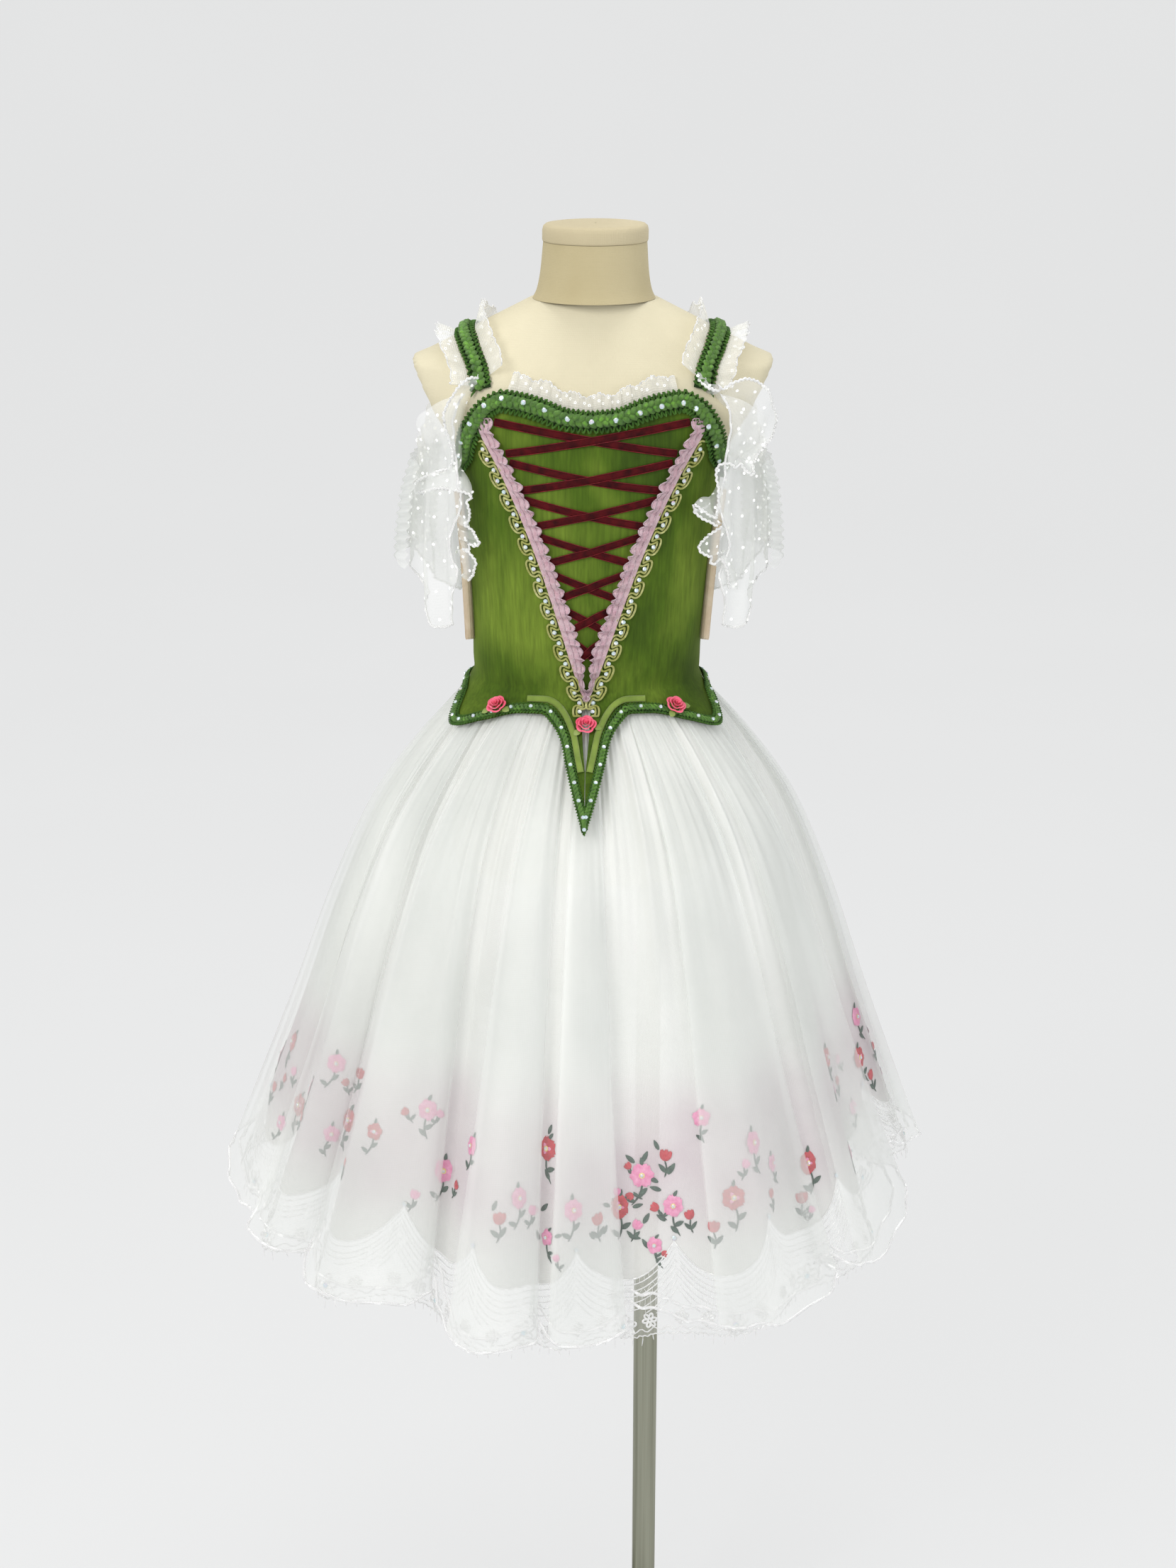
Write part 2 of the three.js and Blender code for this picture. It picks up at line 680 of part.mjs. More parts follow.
// Gimp braid that scrolls from side to side along the V, sitting over the seam
function gimp(name, sign) {
  const [foot, head] = [1063, 1316];
  const steps = 2 * GIMP.loops;
  const route = shares(steps).map((share, i) => {
    const z = mix(foot, head, share);
    const swing = GIMP.swing * (i % 2 ? 1 : -1);
    const x = lookup(V_SEAM, 'z', z, 'x') + 1.5 + swing;
    return { angle: sign * frontAngle(x, z), z, lift: CLEAR + (z < 1100 ? 1.2 : 0.3) };
  });
  const frames = surfaceFrames(route, bodiceRadius);
  const section = ribbonSection(GIMP.width - 2 * GIMP.swing, GIMP.thickness);
  return band(name, frames, section, finish(COLOURS.gimp, 0.6));
}

// Gathered lace inside the gimp, over the ends of the lacing
function pinkLace(name, sign) {
  const [foot, head] = [1104, 1318];
  const steps = 36;
  const route = shares(steps).map((share, i) => {
    const z = mix(foot, head, share);
    const x = Math.max(lookup(V_SEAM, 'z', z, 'x') - PINK_LACE.inset, 2.6 + PINK_LACE.width / 2);
    const ruffle = PINK_LACE.ruffle * (i % 2);
    return { angle: sign * frontAngle(x, z), z, lift: 2 * RIBBON.thickness + 2 * CLEAR + 0.2 + ruffle };
  });
  const frames = surfaceFrames(route, bodiceRadius);
  return band(name, frames, ribbonSection(PINK_LACE.width, PINK_LACE.thickness), finish(COLOURS.pinkLace, 0.8));
}

// Lacing: at each crossing one ribbon falls to the right and one to the left, the second over the first
function lacing() {
  const ribbons = [];
  CROSSINGS.forEach((middle, i) => {
    const above = i > 0 ? (CROSSINGS[i - 1] - middle) / 2 - 4.2 : 15;
    const below = i < CROSSINGS.length - 1 ? (middle - CROSSINGS[i + 1]) / 2 - 4.2 : 10;
    ['fall', 'rise'].forEach((kind, layer) => {
      const steps = [10, 9, 7, 6, 5, 4, 4][i];
      const route = shares(steps).map((share) => {
        const level = mix(middle + above, middle - below, share);
        const reach = Math.max(lookup(V_SEAM, 'z', level, 'x') - PINK_LACE.inset - 1, 6);
        const side = layer === 0 ? 1 : -1;
        const x = side * mix(-reach, reach, share);
        const crossing = Math.sin(Math.PI * share) ** 2;
        const lift = CLEAR + 0.2 + layer * crossing * (RIBBON.thickness + 2 * CLEAR);
        return { angle: frontAngle(x, level), z: level, lift };
      });
      const frames = surfaceFrames(route, bodiceRadius);
      const name = `lacing_${i + 1}_${kind}`;
      ribbons.push(band(name, frames, ribbonSection(RIBBON.width, RIBBON.thickness), finish(COLOURS.velvet, 0.9)));
    });
  });
  return ribbons;
}

// Olive ribbon on each side of the basque point, inside its trim
function basqueRibbon(name, sign) {
  const turns = [34, 28, 23, 18.5, 14.5, 11, 8.4, 6.6, 5.6];
  const route = turns.map((turn) => {
    const { angle, z } = beside(basque, turn, -BASQUE_TRIM.width - 4);
    return { angle: sign * angle, z, lift: CLEAR + 0.5 };
  });
  const frames = surfaceFrames(route, bodiceRadius);
  return band(name, frames, ribbonSection(6, 1), finish(COLOURS.olive, 0.9));
}

// Ribbon rose: a five-lobed bud over the bodice
function rose({ name, x, z, lift }) {
  const angle = frontAngle(x, z);
  const foot = over(bodiceRadius, angle, z, lift);
  const up = over(bodiceRadius, angle, z, lift + 1).sub(foot);
  const side = new THREE.Vector3(0, 0, 1).cross(up).normalize();
  const rise = up.clone().cross(side);
  const levels = [
    { lift: 0, radius: 0.7 },
    { lift: 0.35, radius: 1 },
    { lift: 0.75, radius: 0.8 },
    { lift: 1, radius: 0.4 },
  ];
  const count = 10;
  const rings = levels.map((level) => Array.from({ length: count }, (_, i) => {
    const turn = (2 * Math.PI * i) / count;
    const lobe = 1 + 0.08 * Math.cos(ROSE.petals * turn);
    const radius = ROSE.radius * level.radius * lobe;
    return foot.clone()
      .addScaledVector(side, radius * Math.cos(turn))
      .addScaledVector(rise, radius * Math.sin(turn))
      .addScaledVector(up, ROSE.height * level.lift);
  }));
  return loft(name, rings, finish(COLOURS.rose, 0.5));
}

// Height of the form's upper face over a place in plan
function shoulderHeight(x, y) {
  let [low, high] = [FORM[10].z, FORM[FORM.length - 1].z];
  for (let turn = 0; turn < 22; turn++) {
    const z = (low + high) / 2;
    const side = x - LEAN * (z - LEAN_LEVEL);
    const angle = THREE.MathUtils.radToDeg(Math.atan2(side, -y));
    if (Math.hypot(side, y) < formRadius(angle, z)) low = z;
    else high = z;
  }
  return (low + high) / 2;
}

// Point on the shoulder beside the strap's route: a share along it, across from it and above it
function strapPoint(sign, share, across, lift) {
  const at = share * (STRAP.length - 1);
  const index = Math.min(Math.floor(at), STRAP.length - 2);
  const x = mix(STRAP[index].x, STRAP[index + 1].x, at - index);
  const y = mix(STRAP[index].y, STRAP[index + 1].y, at - index);
  const spot = (dx, dy) => {
    const px = sign * (x + dx) + 4;
    return new THREE.Vector3(px, y + dy, shoulderHeight(px, y + dy));
  };
  const tilt = 0.86;
  const here = spot(across * tilt, 0);
  const outward = spot(across * tilt + 1, 0).sub(here);
  const along = spot(across * tilt, 1).sub(here);
  const normal = outward.cross(along);
  if (normal.z < 0) normal.negate();
  return here.addScaledVector(normal.normalize(), lift);
}

// Share of the strap's route at which a line beside it passes a level, in its front or back half
function strapShare(sign, across, level, front) {
  let [low, high] = front ? [0, 0.5] : [0.5, 1];
  for (let turn = 0; turn < 20; turn++) {
    const share = (low + high) / 2;
    const above = strapPoint(sign, share, across, 0).z > level;
    if (above === front) high = share;
    else low = share;
  }
  return front ? high : low;
}

// Grid along the strap's route between a front and a back level, with a lift for each line
function strapGrid(sign, acrosses, steps, levels, liftAt) {
  const ends = acrosses.map((across) => [
    strapShare(sign, across, levels.front, true),
    strapShare(sign, across, levels.back, false),
  ]);
  return shares(steps).map((share) => acrosses.map((across, i) => {
    return strapPoint(sign, mix(...ends[i], share), across, liftAt(across, share));
  }));
}

// Strap of braid from the front neckline over the shoulder to the back neckline
function strap(name, sign) {
  const half = STRAP_WIDTH / 2;
  const acrosses = sign > 0 ? [-half, 0, half] : [half, 0, -half];
  const levels = { front: 1360.6, back: 1327 };
  const outer = strapGrid(sign, acrosses, 18, levels, (across) => STRAP_GAP + (across === 0 ? 3.2 : 2.4));
  const inner = strapGrid(sign, acrosses, 18, levels, () => STRAP_GAP);
  return wall(name, outer, inner, finish(COLOURS.braid, 0.8));
}

// Lace frill beside a strap, standing off the shoulder in waves
function strapFrill(name, sign, side) {
  const near = STRAP_WIDTH / 2 + 1;
  const columns = [near, near + FRILL.width];
  const acrosses = (side * sign > 0 ? columns : [...columns].reverse()).map((across) => side * across);
  const levels = { front: 1368, back: 1358 };
  const grid = (thickness) => strapGrid(sign, acrosses, FRILL.waves * 4, levels, (across, share) => {
    const far = Math.abs(across) > near + 1;
    const wave = far ? FRILL.wave * (1 + Math.cos(2 * Math.PI * FRILL.waves * share)) + 2 : 0.6;
    return FORM_GAP + wave + thickness;
  });
  return wall(name, grid(CLOTH), grid(0), finish(COLOURS.lace, 0.9));
}

// Lace frill standing above the front neckline
function necklineFrill() {
  const turns = shares(56).map((share) => mix(-43, 43, share));
  const rows = [
    { rise: 1, lift: 1.8 },
    { rise: 13, lift: 3.2 },
  ];
  const grid = (inner) => rows.map(({ rise, lift }) => turns.map((angle, i) => {
    const wave = (rise > 1 ? 1.6 : 0.2) * (i % 2);
    const z = neckline(angle) + rise;
    return place(angle, formRadius(angle, z) + lift + wave - inner, z);
  }));
  return wall('neckline_frill', grid(0), grid(CLOTH), finish(COLOURS.lace, 0.9));
}

// Stand-off of a sleeve's flounce from the form
function sleeveOffset(at, z) {
  const [first, last] = [SLEEVE_EDGES[0].at, SLEEVE_EDGES[SLEEVE_EDGES.length - 1].at];
  const share = THREE.MathUtils.clamp((at - first) / (last - first), 0, 1);
  const bulge = Math.pow(Math.sin(Math.PI * share), 0.6);
  return lookup(SLEEVE, 'z', z, 'edge') + lookup(SLEEVE, 'z', z, 'middle') * bulge;
}

function sleeveWave(at, z) {
  const [first, last] = [SLEEVE_EDGES[0].at, SLEEVE_EDGES[SLEEVE_EDGES.length - 1].at];
  const phase = (SLEEVE_WAVES * (at - first)) / (last - first);
  return lookup(SLEEVE, 'z', z, 'wave') * (1 - Math.cos(2 * Math.PI * phase));
}

// Dotted tulle flounce that hangs round the open armhole
function sleeve(name, sign) {
  const [first, last] = [SLEEVE_EDGES[0].at, SLEEVE_EDGES[SLEEVE_EDGES.length - 1].at];
  const turns = shares(SLEEVE_WAVES * 4).map((share) => mix(first, last, share));
  const ordered = sign > 0 ? turns : [...turns].reverse();
  const grid = (inner) => shares(4).map((v) => ordered.map((at) => {
    const z = mix(lookup(SLEEVE_EDGES, 'at', at, 'low'), lookup(SLEEVE_EDGES, 'at', at, 'top'), v);
    return place(sign * at, formRadius(at, z) + sleeveOffset(at, z) + sleeveWave(at, z) - inner, z);
  }));
  return wall(name, grid(0), grid(CLOTH), finish(COLOURS.organza, 0.8));
}

// Pleated net outside the flounce
function sleeveNet(name, sign) {
  const turns = shares(NET.pleats * 3).map((share) => mix(NET.from, NET.to, share));
  const ordered = sign > 0 ? turns : [...turns].reverse();
  const rows = shares(2);
  const grid = (inner) => rows.map((v) => ordered.map((at) => {
    const z = mix(NET.low, NET.top, v);
    const pleat = NET.depth * (1 - Math.cos((2 * Math.PI * NET.pleats * (at - NET.from)) / (NET.to - NET.from)));
    const clear = sleeveOffset(at, z) + 2 * lookup(SLEEVE, 'z', z, 'wave') + 3 + CLOTH;
    return place(sign * at, formRadius(at, z) + clear + pleat + NET.flare * (1 - v) - inner, z);
  }));
  return wall(name, grid(0), grid(CLOTH), finish(COLOURS.organza, 0.8));
}

// Limp elastic armband hanging beside the bodice, its two runs close together
function sleeveElastic(name, sign) {
  const half = (ELASTIC.gap + ELASTIC.thickness) / 2;
  const loop = [];
  const turnSteps = 4;
  for (let i = 0; i <= turnSteps; i++) {
    const turn = (Math.PI * i) / turnSteps;
    loop.push({ across: half * Math.cos(turn), z: ELASTIC.top + half * Math.sin(turn) });
  }
  loop.push({ across: -half, z: 1200 }, { across: -half, z: 1150 });
  for (let i = 0; i <= turnSteps; i++) {
    const turn = Math.PI + (Math.PI * i) / turnSteps;
    loop.push({ across: half * Math.cos(turn), z: ELASTIC.low + half * Math.sin(turn) });
  }
  loop.push({ across: half, z: 1150 }, { across: half, z: 1200 });
  const spot = ({ across, z }, lift) => {
    const angle = sign * ELASTIC.at;
    return over(bodiceRadius, angle + (across / bodiceRadius(angle, z)) * (180 / Math.PI), z, lift);
  };
  const frames = loop.map((stop, i) => {
    const before = spot(loop[(i + loop.length - 1) % loop.length], CLEAR);
    const after = spot(loop[(i + 1) % loop.length], CLEAR);
    const centre = spot(stop, CLEAR + 0.3);
    const ahead = after.sub(before).normalize();
    const side = spot(stop, CLEAR + 1).sub(spot(stop, CLEAR)).normalize();
    return { centre, side, up: side.clone().cross(ahead).normalize() };
  });
  const t = ELASTIC.thickness / 2;
  const section = [[0, -t], [ELASTIC.width, -t], [ELASTIC.width, t], [0, t]];
  return band(name, frames, section, finish(COLOURS.elastic, 0.8), true);
}

// Skirt layer: a tube of folds from the waist to its hem
function skirtLayer(name, layer, hemAt, levels) {
  const turns = Array.from({ length: SKIRT_COLUMNS }, (_, i) => (i * 360) / SKIRT_COLUMNS);
  const grid = (inner) => levels.map((level, row) => turns.map((angle, column) => {
    const z = row === 0 ? hemAt(angle, column) : level;
    return place(angle, skirtRadius(angle, z, layer) - inner, z);
  }));
  return wall(name, grid(0), grid(CLOTH), finish(COLOURS.organza, 0.7), { round: true });
}

function skirtLayers() {
  const lift = (layer) => (angle) => layer.hem + HEM_LIFT * foldReach(angle);
  const { overlayOuter, overlayInner, embroidered } = LAYERS;
  const scalloped = (angle, column) => LACE_TOP[column % LACE_TOP.length] + CLEAR;
  return [
    skirtLayer('skirt_overlay_outer', overlayOuter, lift(overlayOuter), [535, 854, 946, 1011, 1045, WAIST]),
    skirtLayer('skirt_overlay_inner', overlayInner, lift(overlayInner), [543, 854, 1011, WAIST]),
    skirtLayer('skirt_embroidered', embroidered, scalloped, [575, 854, 1011, WAIST]),
  ];
}

// Half of the scalloped lace border below the embroidered layer
function laceBorder(name, from, to) {
  const columns = to - from;
  const layer = LAYERS.embroidered;
  const levels = [LACE_FOOT, LACE_FOOT.map(() => LACE_MIDDLE), LACE_TOP];
  const grid = (inner) => levels.map((level) => Array.from({ length: columns + 1 }, (_, i) => {
    const column = from + i;
    const trim = (i === 0 ? halfSeam : 0) - (i === columns ? halfSeam : 0);
    const angle = (column * 360) / SKIRT_COLUMNS + trim;
    const z = level[(column + SKIRT_COLUMNS) % LACE_TOP.length];
    return place(angle, skirtRadius(angle, z, layer) - inner, z);
  }));
  const hasHole = (row, column) => row === 0 && LACE_HOLE.columns.includes((from + column + SKIRT_COLUMNS) % 4);
  return wall(name, grid(0), grid(CLOTH), finish(COLOURS.lace, 0.9), { hasHole });
}

const raised = new THREE.Group();
raised.position.z = DATUM;
raised.add(formTorso(), formNeck(), formNeckCap());
raised.add(bodiceFrontCentre(), bodiceFrontSide('bodice_front_left', -1), bodiceFrontSide('bodice_front_right', 1));
raised.add(bodiceBack('bodice_back_left', -1), bodiceBack('bodice_back_right', 1));
raised.add(necklineBraid(), basqueTrim(), necklineFrill());
[{ side: 'left', sign: -1 }, { side: 'right', sign: 1 }].forEach(({ side, sign }) => {
  raised.add(gimp(`gimp_${side}`, sign), pinkLace(`pink_lace_${side}`, sign));
  raised.add(basqueRibbon(`basque_ribbon_${side}`, sign));
  raised.add(strap(`strap_${side}`, sign));
  raised.add(strapFrill(`strap_frill_inner_${side}`, sign, -1), strapFrill(`strap_frill_outer_${side}`, sign, 1));
  raised.add(sleeve(`sleeve_flounce_${side}`, sign), sleeveNet(`sleeve_net_${side}`, sign));
  raised.add(sleeveElastic(`sleeve_elastic_${side}`, sign));
});
raised.add(...lacing(), ...ROSES.map(rose), ...skirtLayers());
raised.add(laceBorder('skirt_lace_front', -LACE_SPLIT, LACE_SPLIT));
raised.add(laceBorder('skirt_lace_back', LACE_SPLIT, SKIRT_COLUMNS - LACE_SPLIT));

const group = new THREE.Group();
group.add(standPole(), standBase(), raised);
export default group;
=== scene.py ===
import math

import bpy
import numpy as np
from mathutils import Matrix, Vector


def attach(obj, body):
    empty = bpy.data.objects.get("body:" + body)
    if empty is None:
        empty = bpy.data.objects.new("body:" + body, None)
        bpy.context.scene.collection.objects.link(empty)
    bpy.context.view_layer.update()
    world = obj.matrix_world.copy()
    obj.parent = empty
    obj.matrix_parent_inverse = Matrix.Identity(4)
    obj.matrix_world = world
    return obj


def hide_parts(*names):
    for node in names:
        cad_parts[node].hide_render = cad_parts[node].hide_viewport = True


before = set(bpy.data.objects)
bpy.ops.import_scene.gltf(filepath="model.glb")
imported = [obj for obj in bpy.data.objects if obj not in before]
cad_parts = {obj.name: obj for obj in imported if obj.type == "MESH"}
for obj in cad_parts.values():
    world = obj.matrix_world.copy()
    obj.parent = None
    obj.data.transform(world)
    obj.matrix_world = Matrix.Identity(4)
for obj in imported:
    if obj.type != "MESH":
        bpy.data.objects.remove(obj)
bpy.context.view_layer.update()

# Tables are in millimetres and degrees: angle 0 is the centre front, 90 is +X, 180 the centre back.
# Levels are heights above a datum that lies above the floor.
MM = 0.001
DATUM = 120
# The form leans to one side: its slope, and the level where it is in the middle
LEAN, LEAN_LEVEL = 0.02, 1150
# Waist, and the height over which the bodice flares out to the skirt
WAIST, FLARE = 1062, 14
# Gap from form to bodice, thickness of the plush, gap from plush to skirt
FORM_GAP, PLUSH, CLEAR = 1.6, 2.0, 0.4
# Cut faces of the arm stumps: lowest level, place there, slope
STUMP_Z, STUMP_X, STUMP_SLOPE = 1290, 124, 0.5

# Dress form: level, half width, front depth, back depth
FORM = np.array([
    (880, 126, 90, 100), (900, 131, 95, 105), (960, 127, 91, 102), (1010, 114, 82, 88),
    (1050, 106, 80, 76), (1100, 107, 85, 76), (1150, 109.5, 90, 80), (1200, 113, 94, 86),
    (1250, 118, 96, 90), (1290, 124, 95, 92), (1306, 137, 93.5, 91.5), (1322, 152, 91, 89.5),
    (1337, 166, 87, 86), (1353, 175, 81, 81.5), (1372, 178, 71, 74.5), (1387, 150, 62, 66),
    (1404, 116, 53, 58), (1420, 84, 47, 50), (1432, 60, 44, 46)])
FORM_POWER = 2.3
FORM_FOOT, FORM_HEAD = 880, 1432
# Neck block and its cap: level, radius
NECK = np.array([(1432.4, 57), (1440, 53.5), (1455, 50.5), (1483.7, 48)])
CAP = [
    (1484, 46), (1484, 48.4), (1485.5, 49), (1494, 49), (1497.5, 48.2), (1499.4, 46), (1500, 42),
    (1500, 1)]

# Edges of the bodice: angle, level
NECKLINE = np.array([
    (0, 1341), (13, 1343), (27, 1351), (38, 1356), (47, 1358), (53, 1350), (59, 1328), (67, 1304),
    (78, 1289), (90, 1285), (108, 1290), (122, 1306), (133, 1322), (142, 1324), (160, 1316), (180, 1314)])
BASQUE = np.array([
    (0, 970), (3.2, 995), (6.6, 1018), (10.5, 1038), (16.5, 1050), (24.5, 1057), (36, 1056),
    (50, 1047), (63, 1037), (75, 1051), (88, 1061), (110, 1059), (145, 1055), (180, 1052)])
# Angle of the V's seams at the neckline
V_TOP = 52
# Seam down each side of the laced V: level, distance from the middle
V_SEAM = np.array([
    (1062, 4), (1076, 9.5), (1100, 17.5), (1150, 33), (1200, 49.5), (1250, 67), (1290, 83),
    (1306, 90), (1322, 97), (1337, 101.5), (1352, 106)])

# Skirt: level, side, front and back radius, oval's power, share of folds, gathers, step between layers
SKIRT = np.array([
    (535, 348, 348, 348, 2, 1, 0, 8), (729, 281, 281, 281, 2, 0.68, 0, 6),
    (854, 240, 239, 239, 2, 0.48, 0.6, 5), (946, 201, 197, 196, 2, 0.3, 1.4, 4),
    (1011, 157, 143, 141, 2.1, 0.14, 2.4, 3), (1045, 129, 107, 103, 2.25, 0.04, 2.2, 2.2),
    (1062, 112.5, 87.5, 82.5, 2.3, 0, 0.7, 1.7)])
# Main folds at the hem: crest, its reach, the trough after it, its reach
FOLDS = np.array([
    (-88, 25, -69, -4), (-60, 21, -52, -18), (-43, 20, -29, -42), (-14, 20, -7.5, -12), (-2, 5, 6, -24),
    (31, 20, 43, -6), (52, 22, 74, -38), (97, 22, 108, -26), (118, 17, 128, -30),
    (138, 20, 148, -22), (159, 18, 170, -34), (182, 21, 192, -26), (203, 17, 213, -33),
    (224, 20, 235, -24), (247, 18, 258, -20)])
# Hems of the overlays: levels, drop for each unit of a fold's reach, rise at the sides and in the gaps
HEMS = {"outer": 535, "inner": 543}
HEM_DROP, SIDE_RISE, GAP_RISE = 0.3, 26, 13
# Gathers at the waist, coarse and fine
GATHERS = 84, 147
# Levels where the pink haze of the ground starts, is full, and fades out again
HAZE = (590, 660, 690, 770)
# Levels where the ground's painted shade is darkest and where the ground is plain
SHADE = (580, 880)

# Sleeve flounce: level, stand-off near its ends, more at its middle, depth of its waves
SLEEVE = np.array([
    (1100, 8, 44, 4.5), (1150, 7, 48, 4.5), (1200, 5.5, 48, 4), (1250, 8, 40, 3),
    (1295, 15.4, 18, 2), (1345, 16.6, 2, 1.2), (1390, 16.6, 0, 0.6)])
# Sleeve edges: angle, upper level, lower level
SLEEVE_EDGES = np.array([
    (56, 1356, 1168), (61, 1350, 1126), (68, 1336, 1124), (76, 1312, 1158), (86, 1302, 1196),
    (96, 1302, 1190), (106, 1314, 1150), (115, 1338, 1132), (124, 1352, 1172)])

# Strap over the shoulder, in plan: depth, distance from the middle
STRAP = np.array([
    (-79, 96), (-62, 103), (-40, 112), (-14, 117), (14, 117), (42, 110), (64, 100), (82, 88)])
STRAP_WIDTH, STRAP_GAP = 21, 1.6
# Levels of the lacing's crossings
CROSSINGS = (1316, 1281, 1249, 1215, 1180, 1147, 1116)


def unit(v):
    return v / np.maximum(np.linalg.norm(v, axis=-1, keepdims=True), 1e-9)


def smooth_curve(keys, values):
    """Smooth curve through a table that never overshoots it."""
    x, y = np.asarray(keys, float), np.asarray(values, float)
    h = np.diff(x)
    d = np.diff(y) / h
    slope = np.zeros_like(y)
    w1, w2 = 2 * h[1:] + h[:-1], h[1:] + 2 * h[:-1]
    same = d[:-1] * d[1:] > 0
    safe = np.where(same, d[:-1], 1.0), np.where(same, d[1:], 1.0)
    slope[1:-1] = np.where(same, (w1 + w2) / (w1 / safe[0] + w2 / safe[1]), 0)
    slope[0], slope[-1] = d[0], d[-1]

    def value(at):
        at = np.clip(at, x[0], x[-1])
        i = np.clip(np.searchsorted(x, at) - 1, 0, len(x) - 2)
        t = (at - x[i]) / h[i]
        low = (1 + 2 * t) * (1 - t) ** 2 * y[i] + t * (1 - t) ** 2 * h[i] * slope[i]
        return low + t * t * (3 - 2 * t) * y[i + 1] + t * t * (t - 1) * h[i] * slope[i + 1]

    return value


def columns(table):
    return [smooth_curve(table[:, 0], table[:, i]) for i in range(1, table.shape[1])]


form_side, form_front, form_back = columns(FORM)
skirt_side, skirt_front, skirt_back, skirt_power, skirt_fold, skirt_gather, skirt_apart = columns(SKIRT)
sleeve_end, sleeve_middle, sleeve_depth = columns(SLEEVE)
sleeve_top, sleeve_low = columns(SLEEVE_EDGES)
seam_x = smooth_curve(V_SEAM[:, 0], V_SEAM[:, 1])
neckline_half = smooth_curve(NECKLINE[:, 0], NECKLINE[:, 1])
basque_half = smooth_curve(BASQUE[:, 0], BASQUE[:, 1])


def wrap(angle):
    """Angle from the centre front, the same on both sides."""
    return np.abs((np.asarray(angle, float) + 180) % 360 - 180)


def neckline(angle):
    return neckline_half(wrap(angle))


def basque(angle):
    return basque_half(wrap(angle))


def place(angle, radius, z):
    """Point at an angle and a radius from the leaning axis."""
    angle, radius, z = np.broadcast_arrays(np.radians(angle), radius, z)
    shift = LEAN * (z - LEAN_LEVEL)
    return np.stack([shift + radius * np.sin(angle), -radius * np.cos(angle), z], axis=-1)


def oval(angle, side, depth, power):
    across = np.abs(np.sin(np.radians(angle))) / side
    along = np.abs(np.cos(np.radians(angle))) / depth
    return (across ** power + along ** power) ** (-1 / power)


def form_radius(angle, z):
    depth = np.where(np.cos(np.radians(angle)) > 0, form_front(z), form_back(z))
    radius = oval(angle, form_side(z), depth, FORM_POWER)
    cut = STUMP_X + (z - STUMP_Z) * STUMP_SLOPE
    cut = cut / np.maximum(np.abs(np.sin(np.radians(angle))), 0.01)
    return np.where(z < STUMP_Z, radius, np.minimum(radius, cut))


fold_at = np.append(FOLDS[:, [0, 2]].ravel(), FOLDS[0, 0] + 360)
fold_reach = np.append(FOLDS[:, [1, 3]].ravel(), FOLDS[0, 1])


def folds(angle):
    """Reach of the main folds at an angle, their phase (0 on a crest) and the half span there."""
    turn = (np.asarray(angle, float) - fold_at[0]) % 360 + fold_at[0]
    i = np.clip(np.searchsorted(fold_at, turn, side="right") - 1, 0, len(fold_at) - 2)
    span = fold_at[i + 1] - fold_at[i]
    share = (turn - fold_at[i]) / span
    ease = 0.5 - 0.5 * np.cos(np.pi * share)
    reach = fold_reach[i] + (fold_reach[i + 1] - fold_reach[i]) * ease
    return reach, np.pi * (share + i % 2), span


def waves(angle, counts, phases):
    """Mean of several cosines round the skirt."""
    return sum(np.cos(k * np.radians(angle) + p) for k, p in zip(counts, phases)) / len(counts)


# Layers: share of the folds, gaps inside the outer one, overhang of the folds, seeds of the fine folds
LAYERS = {
    "outer": (1.0, 0, 0.8, (31, 43, 58), (0.4, 2.1, 4.4)),
    "inner": (0.93, 1, 0.62, (29, 41, 61), (1.7, 5.0, 0.2)),
    "base": (0.86, 2, 0.0, (27, 38, 52), (3.0, 0.9, 2.6)),
}
# Depth of the fine folds and of the gathers, by level
fine_fold = smooth_curve([535, 640, 729, 854, 946, 1011, 1045, WAIST], [1.4, 1.6, 1.9, 2.6, 3.4, 2.6, 0.8, 0])
fine_gather = smooth_curve([535, 780, 854, 946, 1011, 1045, WAIST], [0, 0, 0.5, 1.5, 2.3, 2.0, 0.5])


def skirt_polar(u, z, layer):
    """Angle and radius of a skirt layer's face; the folds of the overlays hang over their own sides."""
    share, inside, overhang, counts, phases = LAYERS[layer]
    u, z = np.broadcast_arrays(np.asarray(u, float), np.asarray(z, float))
    reach, phase, span = folds(u)
    level = skirt_fold(z)
    swing = np.where(phase < np.pi, np.sin(phase), 0.12 * np.sin(phase))
    angle = u + overhang * span * 0.9 * level * swing
    depth = np.where(np.cos(np.radians(angle)) > 0, skirt_front(z), skirt_back(z))
    radius = oval(angle, skirt_side(z), depth, skirt_power(z))
    radius = radius + level * share * (reach + 3 * np.cos(23 * np.radians(u)))
    radius = radius + fine_fold(z) * waves(u, counts, phases)
    turn = np.radians(u)
    coarse = np.cos(GATHERS[0] * turn + 1.2 * np.sin(7 * turn + inside))
    fine = np.cos(GATHERS[1] * turn + 2 * np.sin(11 * turn))
    return angle, radius + fine_gather(z) * (0.6 * coarse + 0.4 * fine) - inside * skirt_apart(z)


def surface(at, step_u, step_z, lift):
    """Point of a surface, moved out along its normal, and that normal."""
    here = at(0, 0)
    normal = unit(np.cross(at(step_u, 0) - here, at(0, step_z) - here))
    return here + np.asarray(lift)[..., None] * normal, normal


def skirt_point(u, z, layer, lift=0.0):
    """Point over a layer of the skirt, and its normal."""
    def at(du, dz):
        angle, radius = skirt_polar(u + du, z + dz, layer)
        return place(angle, radius, z + dz)

    return surface(at, 0.4, 2, lift)


